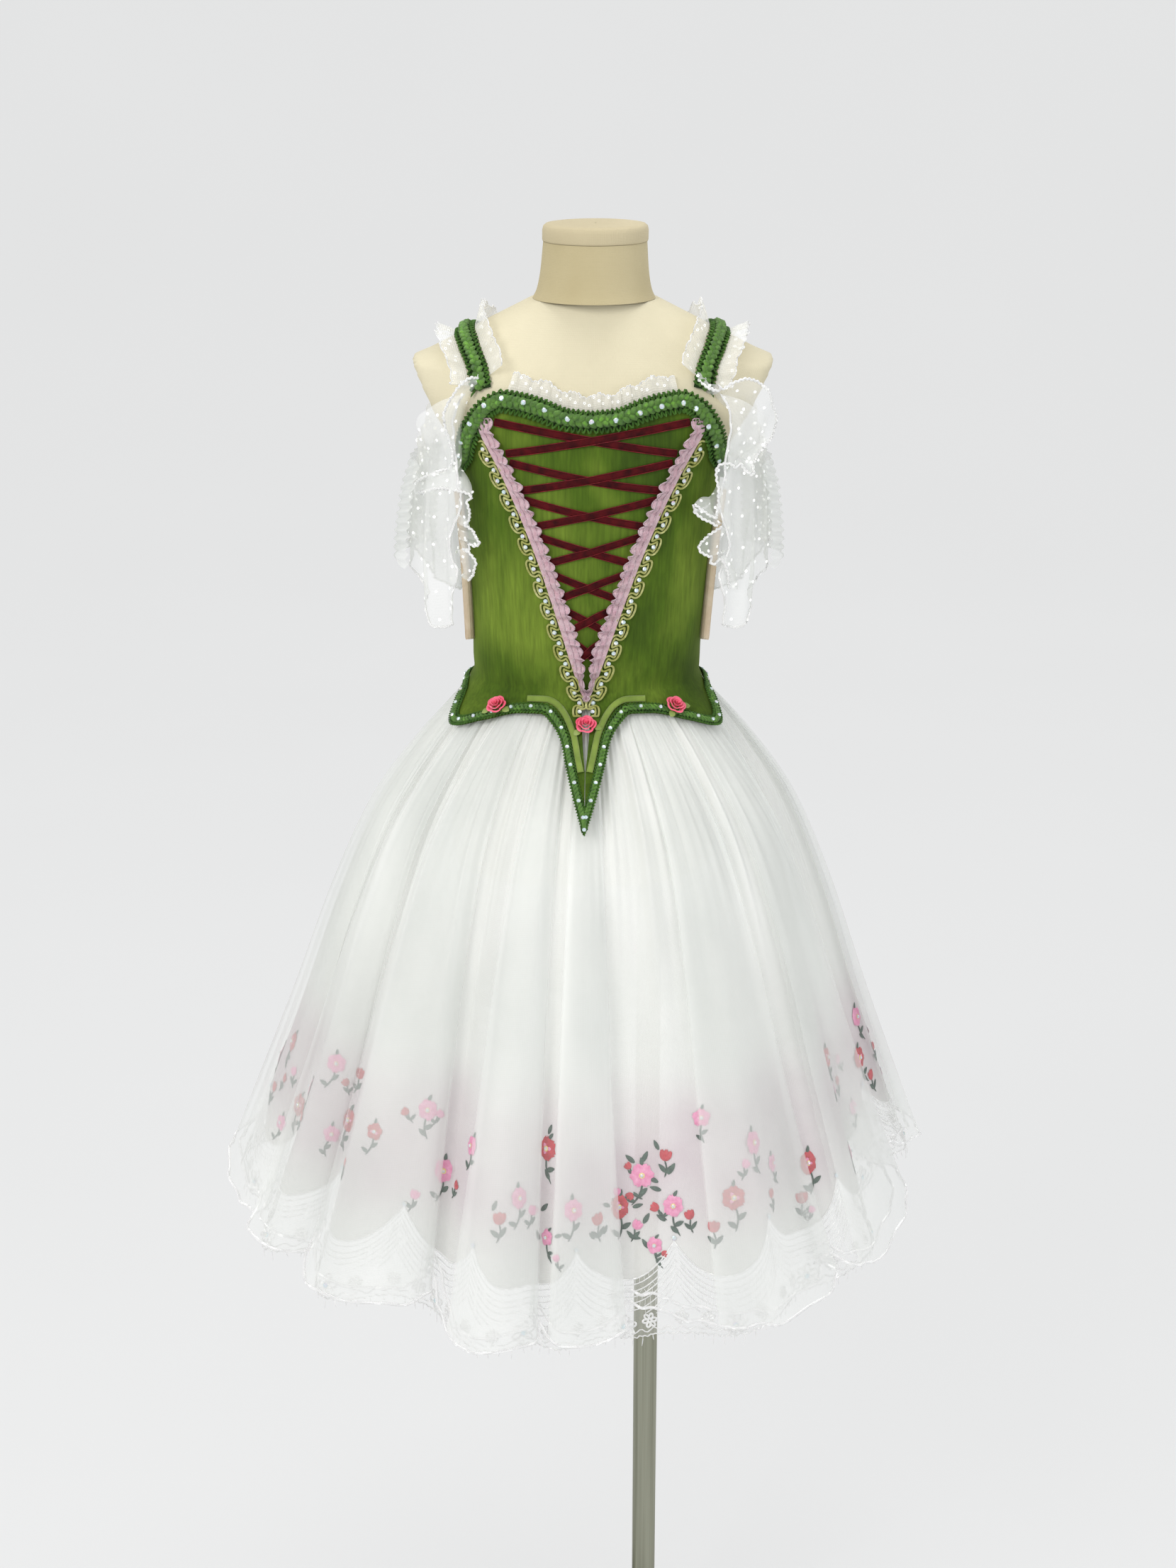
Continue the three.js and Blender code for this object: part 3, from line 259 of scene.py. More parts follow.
def bodice_radius(angle, z):
    """Outer face of the plush: over the form above the waist, over the skirt below it."""
    stand_off = FORM_GAP + 0.03 * np.maximum(0, z - 1300)
    on_form = form_radius(angle, z) + stand_off + PLUSH
    level = np.minimum(z, WAIST)
    depth = np.where(np.cos(np.radians(angle)) > 0, skirt_front(level), skirt_back(level))
    puff = skirt_gather(level) + 28 * skirt_fold(level) + 1.3
    over_skirt = oval(angle, skirt_side(level), depth, skirt_power(level)) + puff + CLEAR + PLUSH
    fade = np.clip((z - WAIST) / FLARE, 0, 1)
    both = np.maximum(on_form, over_skirt)
    return both + (on_form - both) * fade


def over(radius_at, angle, z, lift=0.0):
    """Point over a radius function's surface, and its normal."""
    angle, z = np.broadcast_arrays(np.asarray(angle, float), np.asarray(z, float))

    def at(da, dz):
        return place(angle + da, radius_at(angle + da, z + dz), z + dz)

    return surface(at, 0.6, 0.6, lift)


def front_angle(x, z):
    """Angle of the bodice's face at a distance from the middle."""
    angle = np.zeros(np.broadcast(x, z).shape)
    for _ in range(14):
        angle = np.degrees(np.arcsin(np.clip(x / bodice_radius(angle, z), -0.99, 0.99)))
    return angle


def beside(edge, angle, distance):
    """Place at a distance below an edge of the bodice, square to the edge."""
    radius = bodice_radius(angle, edge(angle))
    run = np.radians(4) * radius
    rise = edge(angle + 2) - edge(angle - 2)
    length = np.hypot(run, rise)
    return angle + np.degrees(distance * rise / length / radius), edge(angle) - distance * run / length


class Bag:
    """Collects points and faces of one piece, in millimetres."""

    def __init__(self):
        self.points, self.uvs, self.faces, self.marks, self.smooth = [], [], [], [], []
        self.count = 0

    def add(self, points, faces, uv=None, mark=0, smooth=True):
        points = np.asarray(points, float).reshape(-1, 3)
        self.points.append(points)
        self.uvs.append(np.zeros((len(points), 2)) if uv is None else np.asarray(uv, float).reshape(-1, 2))
        self.faces += [[i + self.count for i in face] for face in np.asarray(faces).tolist()]
        self.marks += [mark] * len(faces)
        self.smooth += [smooth] * len(faces)
        self.count += len(points)

    def make(self, name, materials, replaces=()):
        mesh = bpy.data.meshes.new(name)
        mesh.from_pydata(((np.concatenate(self.points) + (0, 0, DATUM)) * MM).tolist(), [], self.faces)
        corner = np.empty(len(mesh.loops), int)
        mesh.loops.foreach_get("vertex_index", corner)
        layer = mesh.uv_layers.new(name="UVMap")
        layer.data.foreach_set("uv", np.concatenate(self.uvs)[corner].ravel())
        mesh.polygons.foreach_set("use_smooth", self.smooth)
        mesh.polygons.foreach_set("material_index", self.marks)
        for material in materials:
            mesh.materials.append(material)
        piece = bpy.data.objects.new(name, mesh)
        bpy.context.scene.collection.objects.link(piece)
        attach(piece, "root")
        if replaces:
            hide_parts(*replaces)
        return piece


def grid_faces(rows, cols, closed=False):
    r = np.arange(rows - 1)[:, None]
    c = np.arange(cols if closed else cols - 1)[None, :]
    n = (c + 1) % cols
    return np.stack([r * cols + c, r * cols + n, (r + 1) * cols + n, (r + 1) * cols + c], -1).reshape(-1, 4)


def run_length(path):
    """Length from the start of a path to each of its points."""
    return np.concatenate([[0], np.cumsum(np.linalg.norm(np.diff(path, axis=0), axis=-1))])


def add_grid(bag, points, closed=False, uv=None, mark=0):
    """Sheet through rows of points, with its UV in metres."""
    rows, cols = points.shape[:2]
    if uv is None:
        across = np.linalg.norm(np.diff(points, axis=1), axis=-1).mean(0)
        along = np.linalg.norm(np.diff(points, axis=0), axis=-1).mean(1)
        u = np.concatenate([[0], np.cumsum(across)]) * MM
        v = np.concatenate([[0], np.cumsum(along)]) * MM
        uv = np.stack(np.meshgrid(u, v), -1)
    bag.add(points, grid_faces(rows, cols, closed), uv, mark)


def frames(path, normals=None, closed=False):
    """Directions ahead, sideways and up along a path."""
    if closed:
        ahead = unit(np.roll(path, -1, 0) - np.roll(path, 1, 0))
    else:
        ahead = unit(np.gradient(path, axis=0))
    if normals is None:
        normals = np.tile([0.13, 0.21, 0.97], (len(path), 1))
        flat = np.abs((ahead * normals).sum(-1)) > 0.93
        normals[flat] = [1.0, 0.0, 0.1]
    side = unit(np.cross(ahead, normals))
    return ahead, side, unit(np.cross(side, ahead))


def add_tube(bag, path, radius, sides=6, closed=False, normals=None, flat=1.0, mark=0):
    _, side, up = frames(path, normals, closed)
    turn = np.linspace(0, 2 * np.pi, sides, endpoint=False)
    radius = np.broadcast_to(radius, (len(path),)).astype(float).copy()
    if not closed:
        radius[0] *= 0.35
        radius[-1] *= 0.35
    ring = side[:, None] * np.cos(turn)[None, :, None] + flat * up[:, None] * np.sin(turn)[None, :, None]
    points = path[:, None] + radius[:, None, None] * ring
    uv = np.stack(np.meshgrid(np.linspace(0, 1, sides), run_length(path) * MM), -1)
    faces = grid_faces(len(path), sides, True)
    if closed:
        last = (len(path) - 1) * sides
        ends = [[last + k, last + (k + 1) % sides, (k + 1) % sides, k] for k in range(sides)]
        faces = np.concatenate([faces, ends])
    bag.add(points, faces, uv, mark)


def add_band(bag, path, normals, width, thickness, crown=0.0, mark=0, closed=False):
    """Flat band along a path: a rounded section with its lower face on the path."""
    _, side, up = frames(path, normals, closed)
    width = np.broadcast_to(width, (len(path),))
    across = np.array([-0.5, -0.5, -0.25, 0, 0.25, 0.5, 0.5])
    lift = np.array([0, 0.6, 1, 1, 1, 0.6, 0]) * thickness + np.array([0, 0, 0.7, 1, 0.7, 0, 0]) * crown
    points = path[:, None] + side[:, None] * (across[None, :, None] * width[:, None, None])
    points = points + up[:, None] * lift[None, :, None]
    uv = np.stack(np.meshgrid(across + 0.5, run_length(path) * MM), -1)
    bag.add(points, grid_faces(len(path), len(across), True), uv, mark)


def add_gem(bag, point, normal, radius, count=8):
    """Cut stone: a girdle, a crown and a flat table."""
    side = unit(np.cross(normal, [0.3, 0.2, 0.9]))
    up = np.cross(normal, side)
    turn = np.arange(count) * 2 * np.pi / count
    points = []
    for share, high, twist in ((1.0, -0.2, 0), (1.0, 0.22, 0), (0.55, 0.72, 0.4)):
        for a in turn + twist:
            points.append(point + radius * (share * (np.cos(a) * side + np.sin(a) * up) + high * normal))
    bag.add(points, grid_faces(3, count, True), smooth=False)
    bag.add(points[2 * count:], [list(range(count))], smooth=False)


def along_route(points, step):
    """Lengths at even steps along a fine route, and the length at each of its points."""
    length = run_length(points)
    count = max(int(round(length[-1] / step)), 2)
    return np.linspace(0, length[-1], count + 1), length


def value_at(profile, s):
    """Values along a route, from a function of its length or from one number."""
    return profile(s) if callable(profile) else np.full(np.shape(s), float(profile))


# Materials

def srgb(*values):
    scaled = [v / 255 for v in values]
    return tuple(v / 12.92 if v <= 0.04045 else ((v + 0.055) / 1.055) ** 2.4 for v in scaled) + (1.0,)


def add_node(tree, kind, attributes=None, **inputs):
    """Shader node of a kind, with its attributes and the values of its inputs."""
    made = tree.nodes.new("ShaderNode" + kind)
    for name, value in (attributes or {}).items():
        setattr(made, name, value)
    for socket, value in inputs.items():
        made.inputs[socket.replace("_", " ")].default_value = value
    return made


def link(tree, *pairs):
    for source, target in pairs:
        tree.links.new(source, target)


def principled(name, rough, **sockets):
    material = bpy.data.materials.new(name)
    material.use_nodes = True
    shader = material.node_tree.nodes["Principled BSDF"]
    shader.inputs["Roughness"].default_value = rough
    for socket, value in sockets.items():
        shader.inputs[socket.replace("_", " ")].default_value = value
    return material, material.node_tree, shader


def mottle(tree, shader, colours, scale, stretch=(1, 1, 1), detail=4.0):
    """Colour that wanders between the given ones, by a noise in object space."""
    coords = add_node(tree, "TexCoord")
    mapping = add_node(tree, "Mapping", Scale=stretch)
    noise = add_node(tree, "TexNoise", Scale=scale, Detail=detail)
    ramp = add_node(tree, "ValToRGB")
    elements = ramp.color_ramp.elements
    while len(elements) < len(colours):
        elements.new(0.5)
    for i, colour in enumerate(colours):
        elements[i].position = 0.3 + 0.4 * i / (len(colours) - 1)
        elements[i].color = colour
    link(tree, (coords.outputs["Object"], mapping.inputs["Vector"]),
         (mapping.outputs["Vector"], noise.inputs["Vector"]),
         (noise.outputs["Fac"], ramp.inputs["Fac"]),
         (ramp.outputs["Color"], shader.inputs["Base Color"]))
    return ramp


def add_bump(tree, shader, height, strength, distance):
    bump = add_node(tree, "Bump", Strength=strength, Distance=distance)
    link(tree, (height, bump.inputs["Height"]), (bump.outputs["Normal"], shader.inputs["Normal"]))


def weave(tree, shader, period, strength, kinds=("X", "Y"), distance=0.0004):
    """Bump of threads a period apart, in metres."""
    coords = add_node(tree, "TexCoord")
    height = None
    for kind in kinds:
        wave = add_node(tree, "TexWave", {"bands_direction": kind}, Scale=0.314 / period, Distortion=0.6)
        link(tree, (coords.outputs["UV"], wave.inputs["Vector"]))
        if height is None:
            height = wave.outputs["Fac"]
            continue
        both = add_node(tree, "Math", {"operation": "ADD"})
        link(tree, (height, both.inputs[0]), (wave.outputs["Fac"], both.inputs[1]))
        height = both.outputs["Value"]
    add_bump(tree, shader, height, strength, distance)


def cloth(name, colours, rough, scale=40, stretch=(1, 1, 1), thread=0.0012, strength=0.3,
          kinds=("X", "Y"), **sockets):
    """Woven cloth: mottled colour, a bump of threads and the shader's own sockets."""
    material, tree, shader = principled(name, rough, **sockets)
    mottle(tree, shader, colours, scale, stretch)
    weave(tree, shader, thread, strength, kinds)
    return material


def sheer(name, colour_low, colour_high, alpha, rough=0.5, thread=0.0016, strength=0.15):
    """Sheer cloth of a constant opacity."""
    return cloth(name, [colour_low, colour_high], rough, 14, (1, 1, 0.3), thread, strength,
                 Alpha=alpha, Sheen_Weight=0.25, Sheen_Roughness=0.4)


def level_ramp(tree, height, low, high):
    """Smooth ramp from 0 to 1 between two levels, of a height in object space."""
    ramp = add_node(tree, "MapRange", {"interpolation_type": "SMOOTHSTEP"},
                    From_Min=(low + DATUM) * MM, From_Max=(high + DATUM) * MM)
    link(tree, (height, ramp.inputs["Value"]))
    return ramp.outputs["Result"]


def product(tree, first, second):
    made = add_node(tree, "Math", {"operation": "MULTIPLY"})
    link(tree, (first, made.inputs[0]), (second, made.inputs[1]))
    return made.outputs["Value"]


def ground_cloth():
    """Ground of the embroidery: darker towards its foot by painted shade, with a pink haze in a band round
    the sprays.
    """
    material = sheer("organza_ground", srgb(226, 228, 224), srgb(240, 241, 238), 0.9, 0.6)
    tree = material.node_tree
    shader = tree.nodes["Principled BSDF"]
    plain = shader.inputs["Base Color"].links[0].from_socket
    coords = add_node(tree, "TexCoord")
    parts = add_node(tree, "SeparateXYZ")
    noise = add_node(tree, "TexNoise", Scale=13)
    link(tree, (coords.outputs["Object"], parts.inputs["Vector"]),
         (coords.outputs["Object"], noise.inputs["Vector"]))
    height = parts.outputs["Z"]
    band = product(tree, level_ramp(tree, height, *HAZE[:2]), level_ramp(tree, height, *HAZE[:1:-1]))
    # Painted shade: the ground turns greyer towards its foot
    shaded = add_node(tree, "Mix", {"data_type": "RGBA"}, A=srgb(221, 221, 218))
    hazy = add_node(tree, "Mix", {"data_type": "RGBA"}, B=srgb(192, 166, 179))
    link(tree, (level_ramp(tree, height, *SHADE), shaded.inputs["Factor"]),
         (plain, shaded.inputs["B"]),
         (product(tree, band, noise.outputs["Fac"]), hazy.inputs["Factor"]),
         (shaded.outputs["Result"], hazy.inputs["A"]),
         (hazy.outputs["Result"], shader.inputs["Base Color"]))
    return material


def plush_material():
    """Olive plush: mottled, with fine streaks of pile down the cloth."""
    material, tree, shader = principled("olive_plush", 0.85, Sheen_Weight=0.28, Sheen_Roughness=0.45,
                                        Sheen_Tint=srgb(184, 200, 88), Specular_IOR_Level=0.2)
    tones = [srgb(42, 64, 13), srgb(70, 95, 21), srgb(106, 128, 42)]
    ramp = mottle(tree, shader, tones, 15, (1, 1, 0.5), 6)
    coords = add_node(tree, "TexCoord")
    mapping = add_node(tree, "Mapping", Scale=(1, 1, 0.05))
    streak = add_node(tree, "TexNoise", Scale=420, Detail=3)
    blend = add_node(tree, "Mix", {"data_type": "RGBA", "blend_type": "OVERLAY"}, Factor=0.45)
    link(tree, (coords.outputs["Object"], mapping.inputs["Vector"]),
         (mapping.outputs["Vector"], streak.inputs["Vector"]),
         (ramp.outputs["Color"], blend.inputs["A"]),
         (streak.outputs["Fac"], blend.inputs["B"]),
         (blend.outputs["Result"], shader.inputs["Base Color"]))
    add_bump(tree, shader, streak.outputs["Fac"], 0.35, 0.0006)
    return material


def cord_material(name, dark, light, rough=0.55, period=0.0022, **sockets):
    """Twisted cord: a diagonal bump along it."""
    return cloth(name, [dark, light], rough, 160, (1, 1, 1), period, 0.8, ("DIAGONAL",), **sockets)


def thread_material(name, dark, light, rough=0.42):
    """Satin stitch, its threads side by side."""
    return cloth(name, [dark, light], rough, 240, thread=0.0007, strength=0.5, kinds=("X",))


def linen(name, low, high):
    """Linen cover of the form."""
    material, tree, shader = principled(name, 0.82)
    mottle(tree, shader, [low, high], 9, (1, 1, 0.6), 8)
    weave(tree, shader, 0.0014, 0.22, distance=0.0003)
    return material


# Painted light: white thread glows a little, so that it is brighter than the cloth round it
PAINTED_GLOW = {"Emission_Color": (1.0, 1.0, 1.0, 1.0), "Emission_Strength": 0.28}

MAT = {
    "plush": plush_material(),
    "braid": cord_material("moss_braid", srgb(72, 124, 28), srgb(114, 170, 54), 0.65, Sheen_Weight=0.15),
    "braid_dark": cord_material("moss_cord", srgb(56, 102, 24), srgb(94, 148, 48), 0.55, 0.0014),
    "braid_back": cord_material("braid_ground", srgb(30, 60, 14), srgb(48, 88, 24), 0.85),
    "olive": cloth("olive_ribbon", [srgb(104, 128, 34), srgb(132, 156, 56)], 0.7, 60, thread=0.0008,
                   Sheen_Weight=0.5),
    "gimp": cord_material("gimp_cord", srgb(190, 194, 92), srgb(238, 238, 164), 0.4, 0.0012),
    "pink_lace": cloth("pink_lace", [srgb(234, 188, 202), srgb(250, 222, 231)], 0.8, 240,
                       strength=0.7, Alpha=0.74),
    "pink_cord": cord_material("pink_lace_edge", srgb(238, 196, 212), srgb(252, 232, 240), 0.7, 0.001),
    "velvet": cloth("burgundy_velvet", [srgb(44, 2, 6), srgb(84, 8, 16)], 0.75, 120, thread=0.0007,
                    Specular_IOR_Level=0.15),
    "velvet_edge": cord_material("velvet_selvedge", srgb(112, 14, 24), srgb(158, 26, 38), 0.5, 0.001),
    "rose": cloth("rose_satin", [srgb(236, 66, 104), srgb(252, 118, 146)], 0.35, 70, thread=0.0007,
                  strength=0.1, Sheen_Weight=0.3),
    "leaf": cloth("leaf_ribbon", [srgb(112, 134, 58), srgb(146, 164, 88)], 0.5, 90, thread=0.0007,
                  strength=0.15),
    "outer": sheer("organza_outer", srgb(232, 235, 232), srgb(246, 248, 245), 0.3, 0.42),
    "outer_flat": sheer("organza_outer_single", srgb(236, 238, 236), srgb(248, 249, 247), 0.07, 0.42),
    "inner_flat": sheer("organza_inner_single", srgb(232, 235, 232), srgb(246, 248, 245), 0.05, 0.5),
    "inner": sheer("organza_inner", srgb(228, 231, 228), srgb(244, 246, 243), 0.24, 0.5),
    "base": ground_cloth(),
    # The rolled hem glows a little: painted light
    "hem": cord_material("rolled_hem", srgb(250, 251, 250), srgb(255, 255, 255), 0.45, 0.0012, **PAINTED_GLOW),
    "tulle": sheer("dotted_tulle", srgb(244, 246, 244), srgb(254, 255, 254), 0.38, 0.6, 0.0022, 0.3),
    "net": sheer("pleated_net", srgb(234, 238, 234), srgb(250, 251, 249), 0.42, 0.6, 0.0024, 0.35),
    "frill": cloth("frill_lace", [srgb(240, 241, 238), srgb(254, 254, 252)], 0.75, 110, thread=0.002,
                   strength=0.7, Alpha=0.5),
    "lace_net": sheer("lace_ground", srgb(236, 238, 235), srgb(248, 249, 247), 0.16, 0.7, 0.002, 0.4),
    # The lace thread glows a little: painted light
    "lace": cord_material("lace_thread", srgb(250, 251, 249), srgb(255, 255, 254), 0.7, 0.0012,
                          **PAINTED_GLOW),
    "elastic": cloth("nude_elastic", [srgb(212, 190, 160), srgb(230, 212, 186)], 0.7, 80, thread=0.0012),
    "red": thread_material("thread_red", srgb(176, 20, 40), srgb(214, 50, 68)),
    "pink": thread_material("thread_pink", srgb(230, 124, 172), srgb(246, 170, 206)),
    "sage": thread_material("thread_sage", srgb(28, 58, 46), srgb(62, 92, 76), 0.5),
    "gold": cloth("thread_gold", [srgb(226, 196, 110), srgb(244, 222, 150)], 0.45, 200, thread=0.0006),
    "torso": linen("linen_cover", srgb(204, 196, 168), srgb(220, 212, 184)),
    "neck": linen("linen_neck", srgb(174, 161, 122), srgb(192, 180, 144)),
    "cap": linen("linen_cap", srgb(182, 170, 138), srgb(198, 186, 154)),
}


def crystal():
    material, tree, shader = principled("rhinestone", 0.08, Metallic=0.35, Coat_Weight=0.8,
                                        Coat_Roughness=0.03)
    mottle(tree, shader, [srgb(250, 240, 225), srgb(205, 232, 240), srgb(240, 214, 236)], 300, detail=2)
    return material


def steel():
    material, tree, shader = principled("brushed_pole", 0.36, Metallic=0.85, Anisotropic=0.4)
    mottle(tree, shader, [srgb(128, 129, 113), srgb(164, 165, 149)], 260, (1, 1, 0.01), 3)
    return material


MAT["crystal"] = crystal()
STEEL = steel()
for node in ("stand_pole", "stand_base"):
    body = bpy.data.objects[node]
    body.data.materials.clear()
    body.data.materials.append(STEEL)

# Camera, light and stage

# Place in metres, with the height above the datum, and degrees that it looks down
CAMERA_Y, CAMERA_LEVEL, CAMERA_DOWN = -2.2, 1.712, 19
# Lamps: name, place, aim, size in metres, watts, colour
LAMPS = [
    ("key", (-1.9, -2.6, 3.2), (0, 0, 1.1), 1.6, 68, (1, 0.985, 0.965)),
    ("fill", (2.6, -2.2, 1.9), (0, 0, 1.0), 2.4, 25, (0.985, 0.99, 1)),
    ("top", (0.2, 0.3, 3.7), (0, 0.1, 0.9), 2.0, 27, (1, 1, 1))]
# Colour and strength of the light from all round
SKY, SKY_STRENGTH = (0.955, 0.958, 0.96, 1), 0.62

camera = bpy.data.objects.new("camera", bpy.data.cameras.new("camera"))
camera.data.lens = 53.7
camera.data.sensor_width = 36
camera.location = (0, CAMERA_Y, CAMERA_LEVEL + DATUM * MM)
camera.rotation_euler = (math.radians(90 - CAMERA_DOWN), 0, 0)
bpy.context.scene.collection.objects.link(camera)
bpy.context.scene.camera = camera


def area_light(name, place_at, aim, size, watts, colour):
    lamp = bpy.data.lights.new(name, "AREA")
    lamp.size = size
    lamp.energy = watts
    lamp.color = colour
    holder = bpy.data.objects.new(name, lamp)
    holder.location = place_at
    holder.rotation_mode = "QUATERNION"
    holder.rotation_quaternion = (Vector(aim) - Vector(place_at)).to_track_quat("-Z", "Y")
    bpy.context.scene.collection.objects.link(holder)


for row in LAMPS:
    area_light(*row)

world = bpy.data.worlds.new("studio")
world.use_nodes = True
world.node_tree.nodes["Background"].inputs["Color"].default_value = SKY
world.node_tree.nodes["Background"].inputs["Strength"].default_value = SKY_STRENGTH
bpy.context.scene.world = world
bpy.context.scene.view_settings.view_transform = "Standard"
# A ray through the gathered layers meets many sheer faces
bpy.context.scene.cycles.transparent_max_bounces = 48


def make_stage():
    """Plain studio floor that curves up into a wall, far enough away for views from all round."""
    wall_y, wall_top, curve, reach = 6.5, 8.0, 2.0, 14.0
    bend = np.linspace(0, np.pi / 2, 16)
    profile = [(-reach, 0.0), (-3.0, 0.0)]
    profile += [(wall_y - curve + curve * math.sin(a), curve - curve * math.cos(a)) for a in bend]
    profile += [(wall_y, wall_top / 2), (wall_y, wall_top)]
    points = np.array([[(x, y, z) for x in (-reach, reach)] for y, z in profile])
    mesh = bpy.data.meshes.new("stage")
    mesh.from_pydata(points.reshape(-1, 3).tolist(), [], grid_faces(len(profile), 2).tolist())
    mesh.polygons.foreach_set("use_smooth", [True] * len(mesh.polygons))
    stage = bpy.data.objects.new("stage", mesh)
    # It glows a little, so that it is evenly bright in front of the lamps and away from them
    material, tree, shader = principled("plaster", 0.9, Emission_Color=(0.995, 0.998, 1, 1),
                                        Emission_Strength=0.6)
    mottle(tree, shader, [srgb(127, 128, 128), srgb(130, 131, 131)], 1.2)
    mesh.materials.append(material)
    bpy.context.scene.collection.objects.link(stage)


make_stage()

# Dress form

turns = np.linspace(-180, 180, 145)[:-1]


def lathe(bag, rows):
    """Surface through rows of a level and its radius, one value or one for each turn."""
    add_grid(bag, np.stack([place(turns, radius, z) for z, radius in rows]), True)


def make_form():
    """Torso, closed above and below, neck block and cap."""
    levels = np.concatenate([np.linspace(FORM_FOOT, STUMP_Z - 2, 28),
                             np.linspace(STUMP_Z + 2, FORM_HEAD, 60)])
    rows = [(z, form_radius(turns, np.full(turns.shape, z))) for z in levels]
    rows = [(FORM_FOOT, rows[0][1] * 0.04)] + rows + [(FORM_HEAD, rows[-1][1] * 0.04)]
    neck = smooth_curve(NECK[:, 0], NECK[:, 1])
    neck_rows = [(z, neck(z)) for z in np.linspace(NECK[0, 0], NECK[-1, 0], 24)]
    for name, key, slot, node, profile in (
            ("dress_form_torso", "torso", "linen_cover", "form_torso", rows),
            ("dress_form_neck", "neck", "linen_neck", "form_neck", neck_rows),
            ("dress_form_cap", "cap", "linen_cap", "form_neck_cap", CAP)):
        bag = Bag()
        lathe(bag, profile)
        bag.make(name, [MAT[key]], [node])


make_form()

# Bodice

# Half of a seam's gap and the side seam in degrees, levels where the neckline begins to shape the rows
# of the centre and of the other panels, and columns of a panel
SEAM_GAP, SIDE_SEAM = 0.12, 88
CENTRE_SHAPED, SIDE_SHAPED = 1322, 1100
PANEL_COLUMNS = 61


def seam_line(offset):
    """Angles and levels down a seam of the V, moved by an offset."""
    angles = front_angle(seam_x(V_SEAM[:-1, 0]), V_SEAM[:-1, 0]) + offset
    top = V_TOP + offset
    return np.append(angles, top), np.append(V_SEAM[:-1, 0], neckline(top))


def relief(angle, z):
    """Slight drag lines of the plush, in millimetres."""
    a = np.radians(angle)
    soft = 0.5 * np.sin(z / 21 + 3 * np.sin(2 * a) + 1.3) * np.exp(-((z - 1100) / 60) ** 2)
    crease = 0.9 * np.exp(-((z - 1076 - 6 * np.sin(3 * a)) / 7) ** 2) * (np.abs(angle) > 30)
    return soft - crease


def add_panel(name, angles, levels):
    lift = np.clip(relief(angles, levels), -1.2, 0.6)
    points, _ = over(bodice_radius, angles, levels, lift - 0.2)
    bag = Bag()
    add_grid(bag, points)
    piece = bag.make("cloth_" + name, [MAT["plush"]], [name])


def refine(rows, count):
    """Rows with count steps from each to the next."""
    out = [rows[0]]
    for low, high in zip(rows[:-1], rows[1:]):
        out += [low + (high - low) * (k + 1) / count for k in range(count)]
    return np.array(out)


def centre_grid():
    """Angles and levels of the centre front, from one seam of the V to the other."""
    u = np.linspace(-1, 1, PANEL_COLUMNS)
    angles, levels = seam_line(-SEAM_GAP)
    rows = []
    for a, z in zip(angles, levels):
        shaped = max(z - CENTRE_SHAPED, 0) / (levels[-1] - CENTRE_SHAPED)
        rows.append(min(z, CENTRE_SHAPED) + (neckline(a * u) - CENTRE_SHAPED) * shaped)
    return refine(np.outer(angles, u), 5), refine(np.array(rows), 5)


def side_grid():
    """Angles and levels of the right front, from the V to the side seam."""
    seam = SIDE_SEAM - SEAM_GAP
    corners = np.concatenate([[SEAM_GAP], BASQUE[1:10, 0], [seam]])
    foot = np.interp(np.linspace(0, 10, PANEL_COLUMNS), np.arange(11), corners)
    share = (seam - foot) / (seam - SEAM_GAP)
    angles, levels = seam_line(SEAM_GAP)
    head = neckline(V_TOP - SEAM_GAP)
    row_angles = [seam + (a - seam) * share for a in angles]
    top = neckline(row_angles[-1])
    row_levels = []
    for i, (here, z) in enumerate(zip(row_angles[:-1], levels)):
        if z <= SIDE_SHAPED:
            row_levels.append(np.maximum(z, basque(here) + 3 * (i + 1)))
        else:
            row_levels.append(SIDE_SHAPED + (top - SIDE_SHAPED) * (z - SIDE_SHAPED) / (head - SIDE_SHAPED))
    row_levels.append(top)
    middle_angle = foot + (row_angles[0] - foot) * np.where(foot < 1, 0, 0.5)
    middle_level = (basque(foot) + row_levels[0]) / 2
    return (refine(np.array([foot, middle_angle] + row_angles), 4),
            refine(np.array([basque(foot), middle_level] + row_levels), 4))


def back_grid():
    """Angles and levels of the right back, from the side seam to the centre back."""
    at = np.linspace(SIDE_SEAM + SEAM_GAP, 180 - SEAM_GAP, PANEL_COLUMNS)
    rows = [basque(at)]
    rows += [np.maximum(z, basque(at) + 3 * (i + 1)) for i, z in enumerate((WAIST, 1076, SIDE_SHAPED))]
    rows += [SIDE_SHAPED + (neckline(at) - SIDE_SHAPED) * v for v in (0.25, 0.5, 0.75, 0.9, 1)]
    levels = refine(np.array(rows), 5)
    return np.tile(at, (len(levels), 1)), levels


def make_bodice():
    add_panel("bodice_front_centre", *centre_grid())
    for name, (angles, levels) in (("bodice_front_", side_grid()), ("bodice_back_", back_grid())):
        add_panel(name + "right", angles, levels)
        add_panel(name + "left", -angles[:, ::-1], levels[:, ::-1])


make_bodice()

# Skirt

def side_rise(u):
    """The hems rise towards the sides."""
    return SIDE_RISE * np.sin(np.radians(u)) ** 2


def hem_level(u, layer):
    """Level of a hem: lower on the folds, higher between them and at the sides."""
    reach, phase, _ = folds(u)
    gap = np.exp(-((phase / np.pi - 1.3) / 0.35) ** 2)
    lift = 2 - HEM_DROP * reach + GAP_RISE * gap + side_rise(u)
    wavy = 1.6 * np.sin(np.radians(u) * 71 + 2 * np.sin(np.radians(u) * 9))
    return HEMS[layer] + lift + wavy


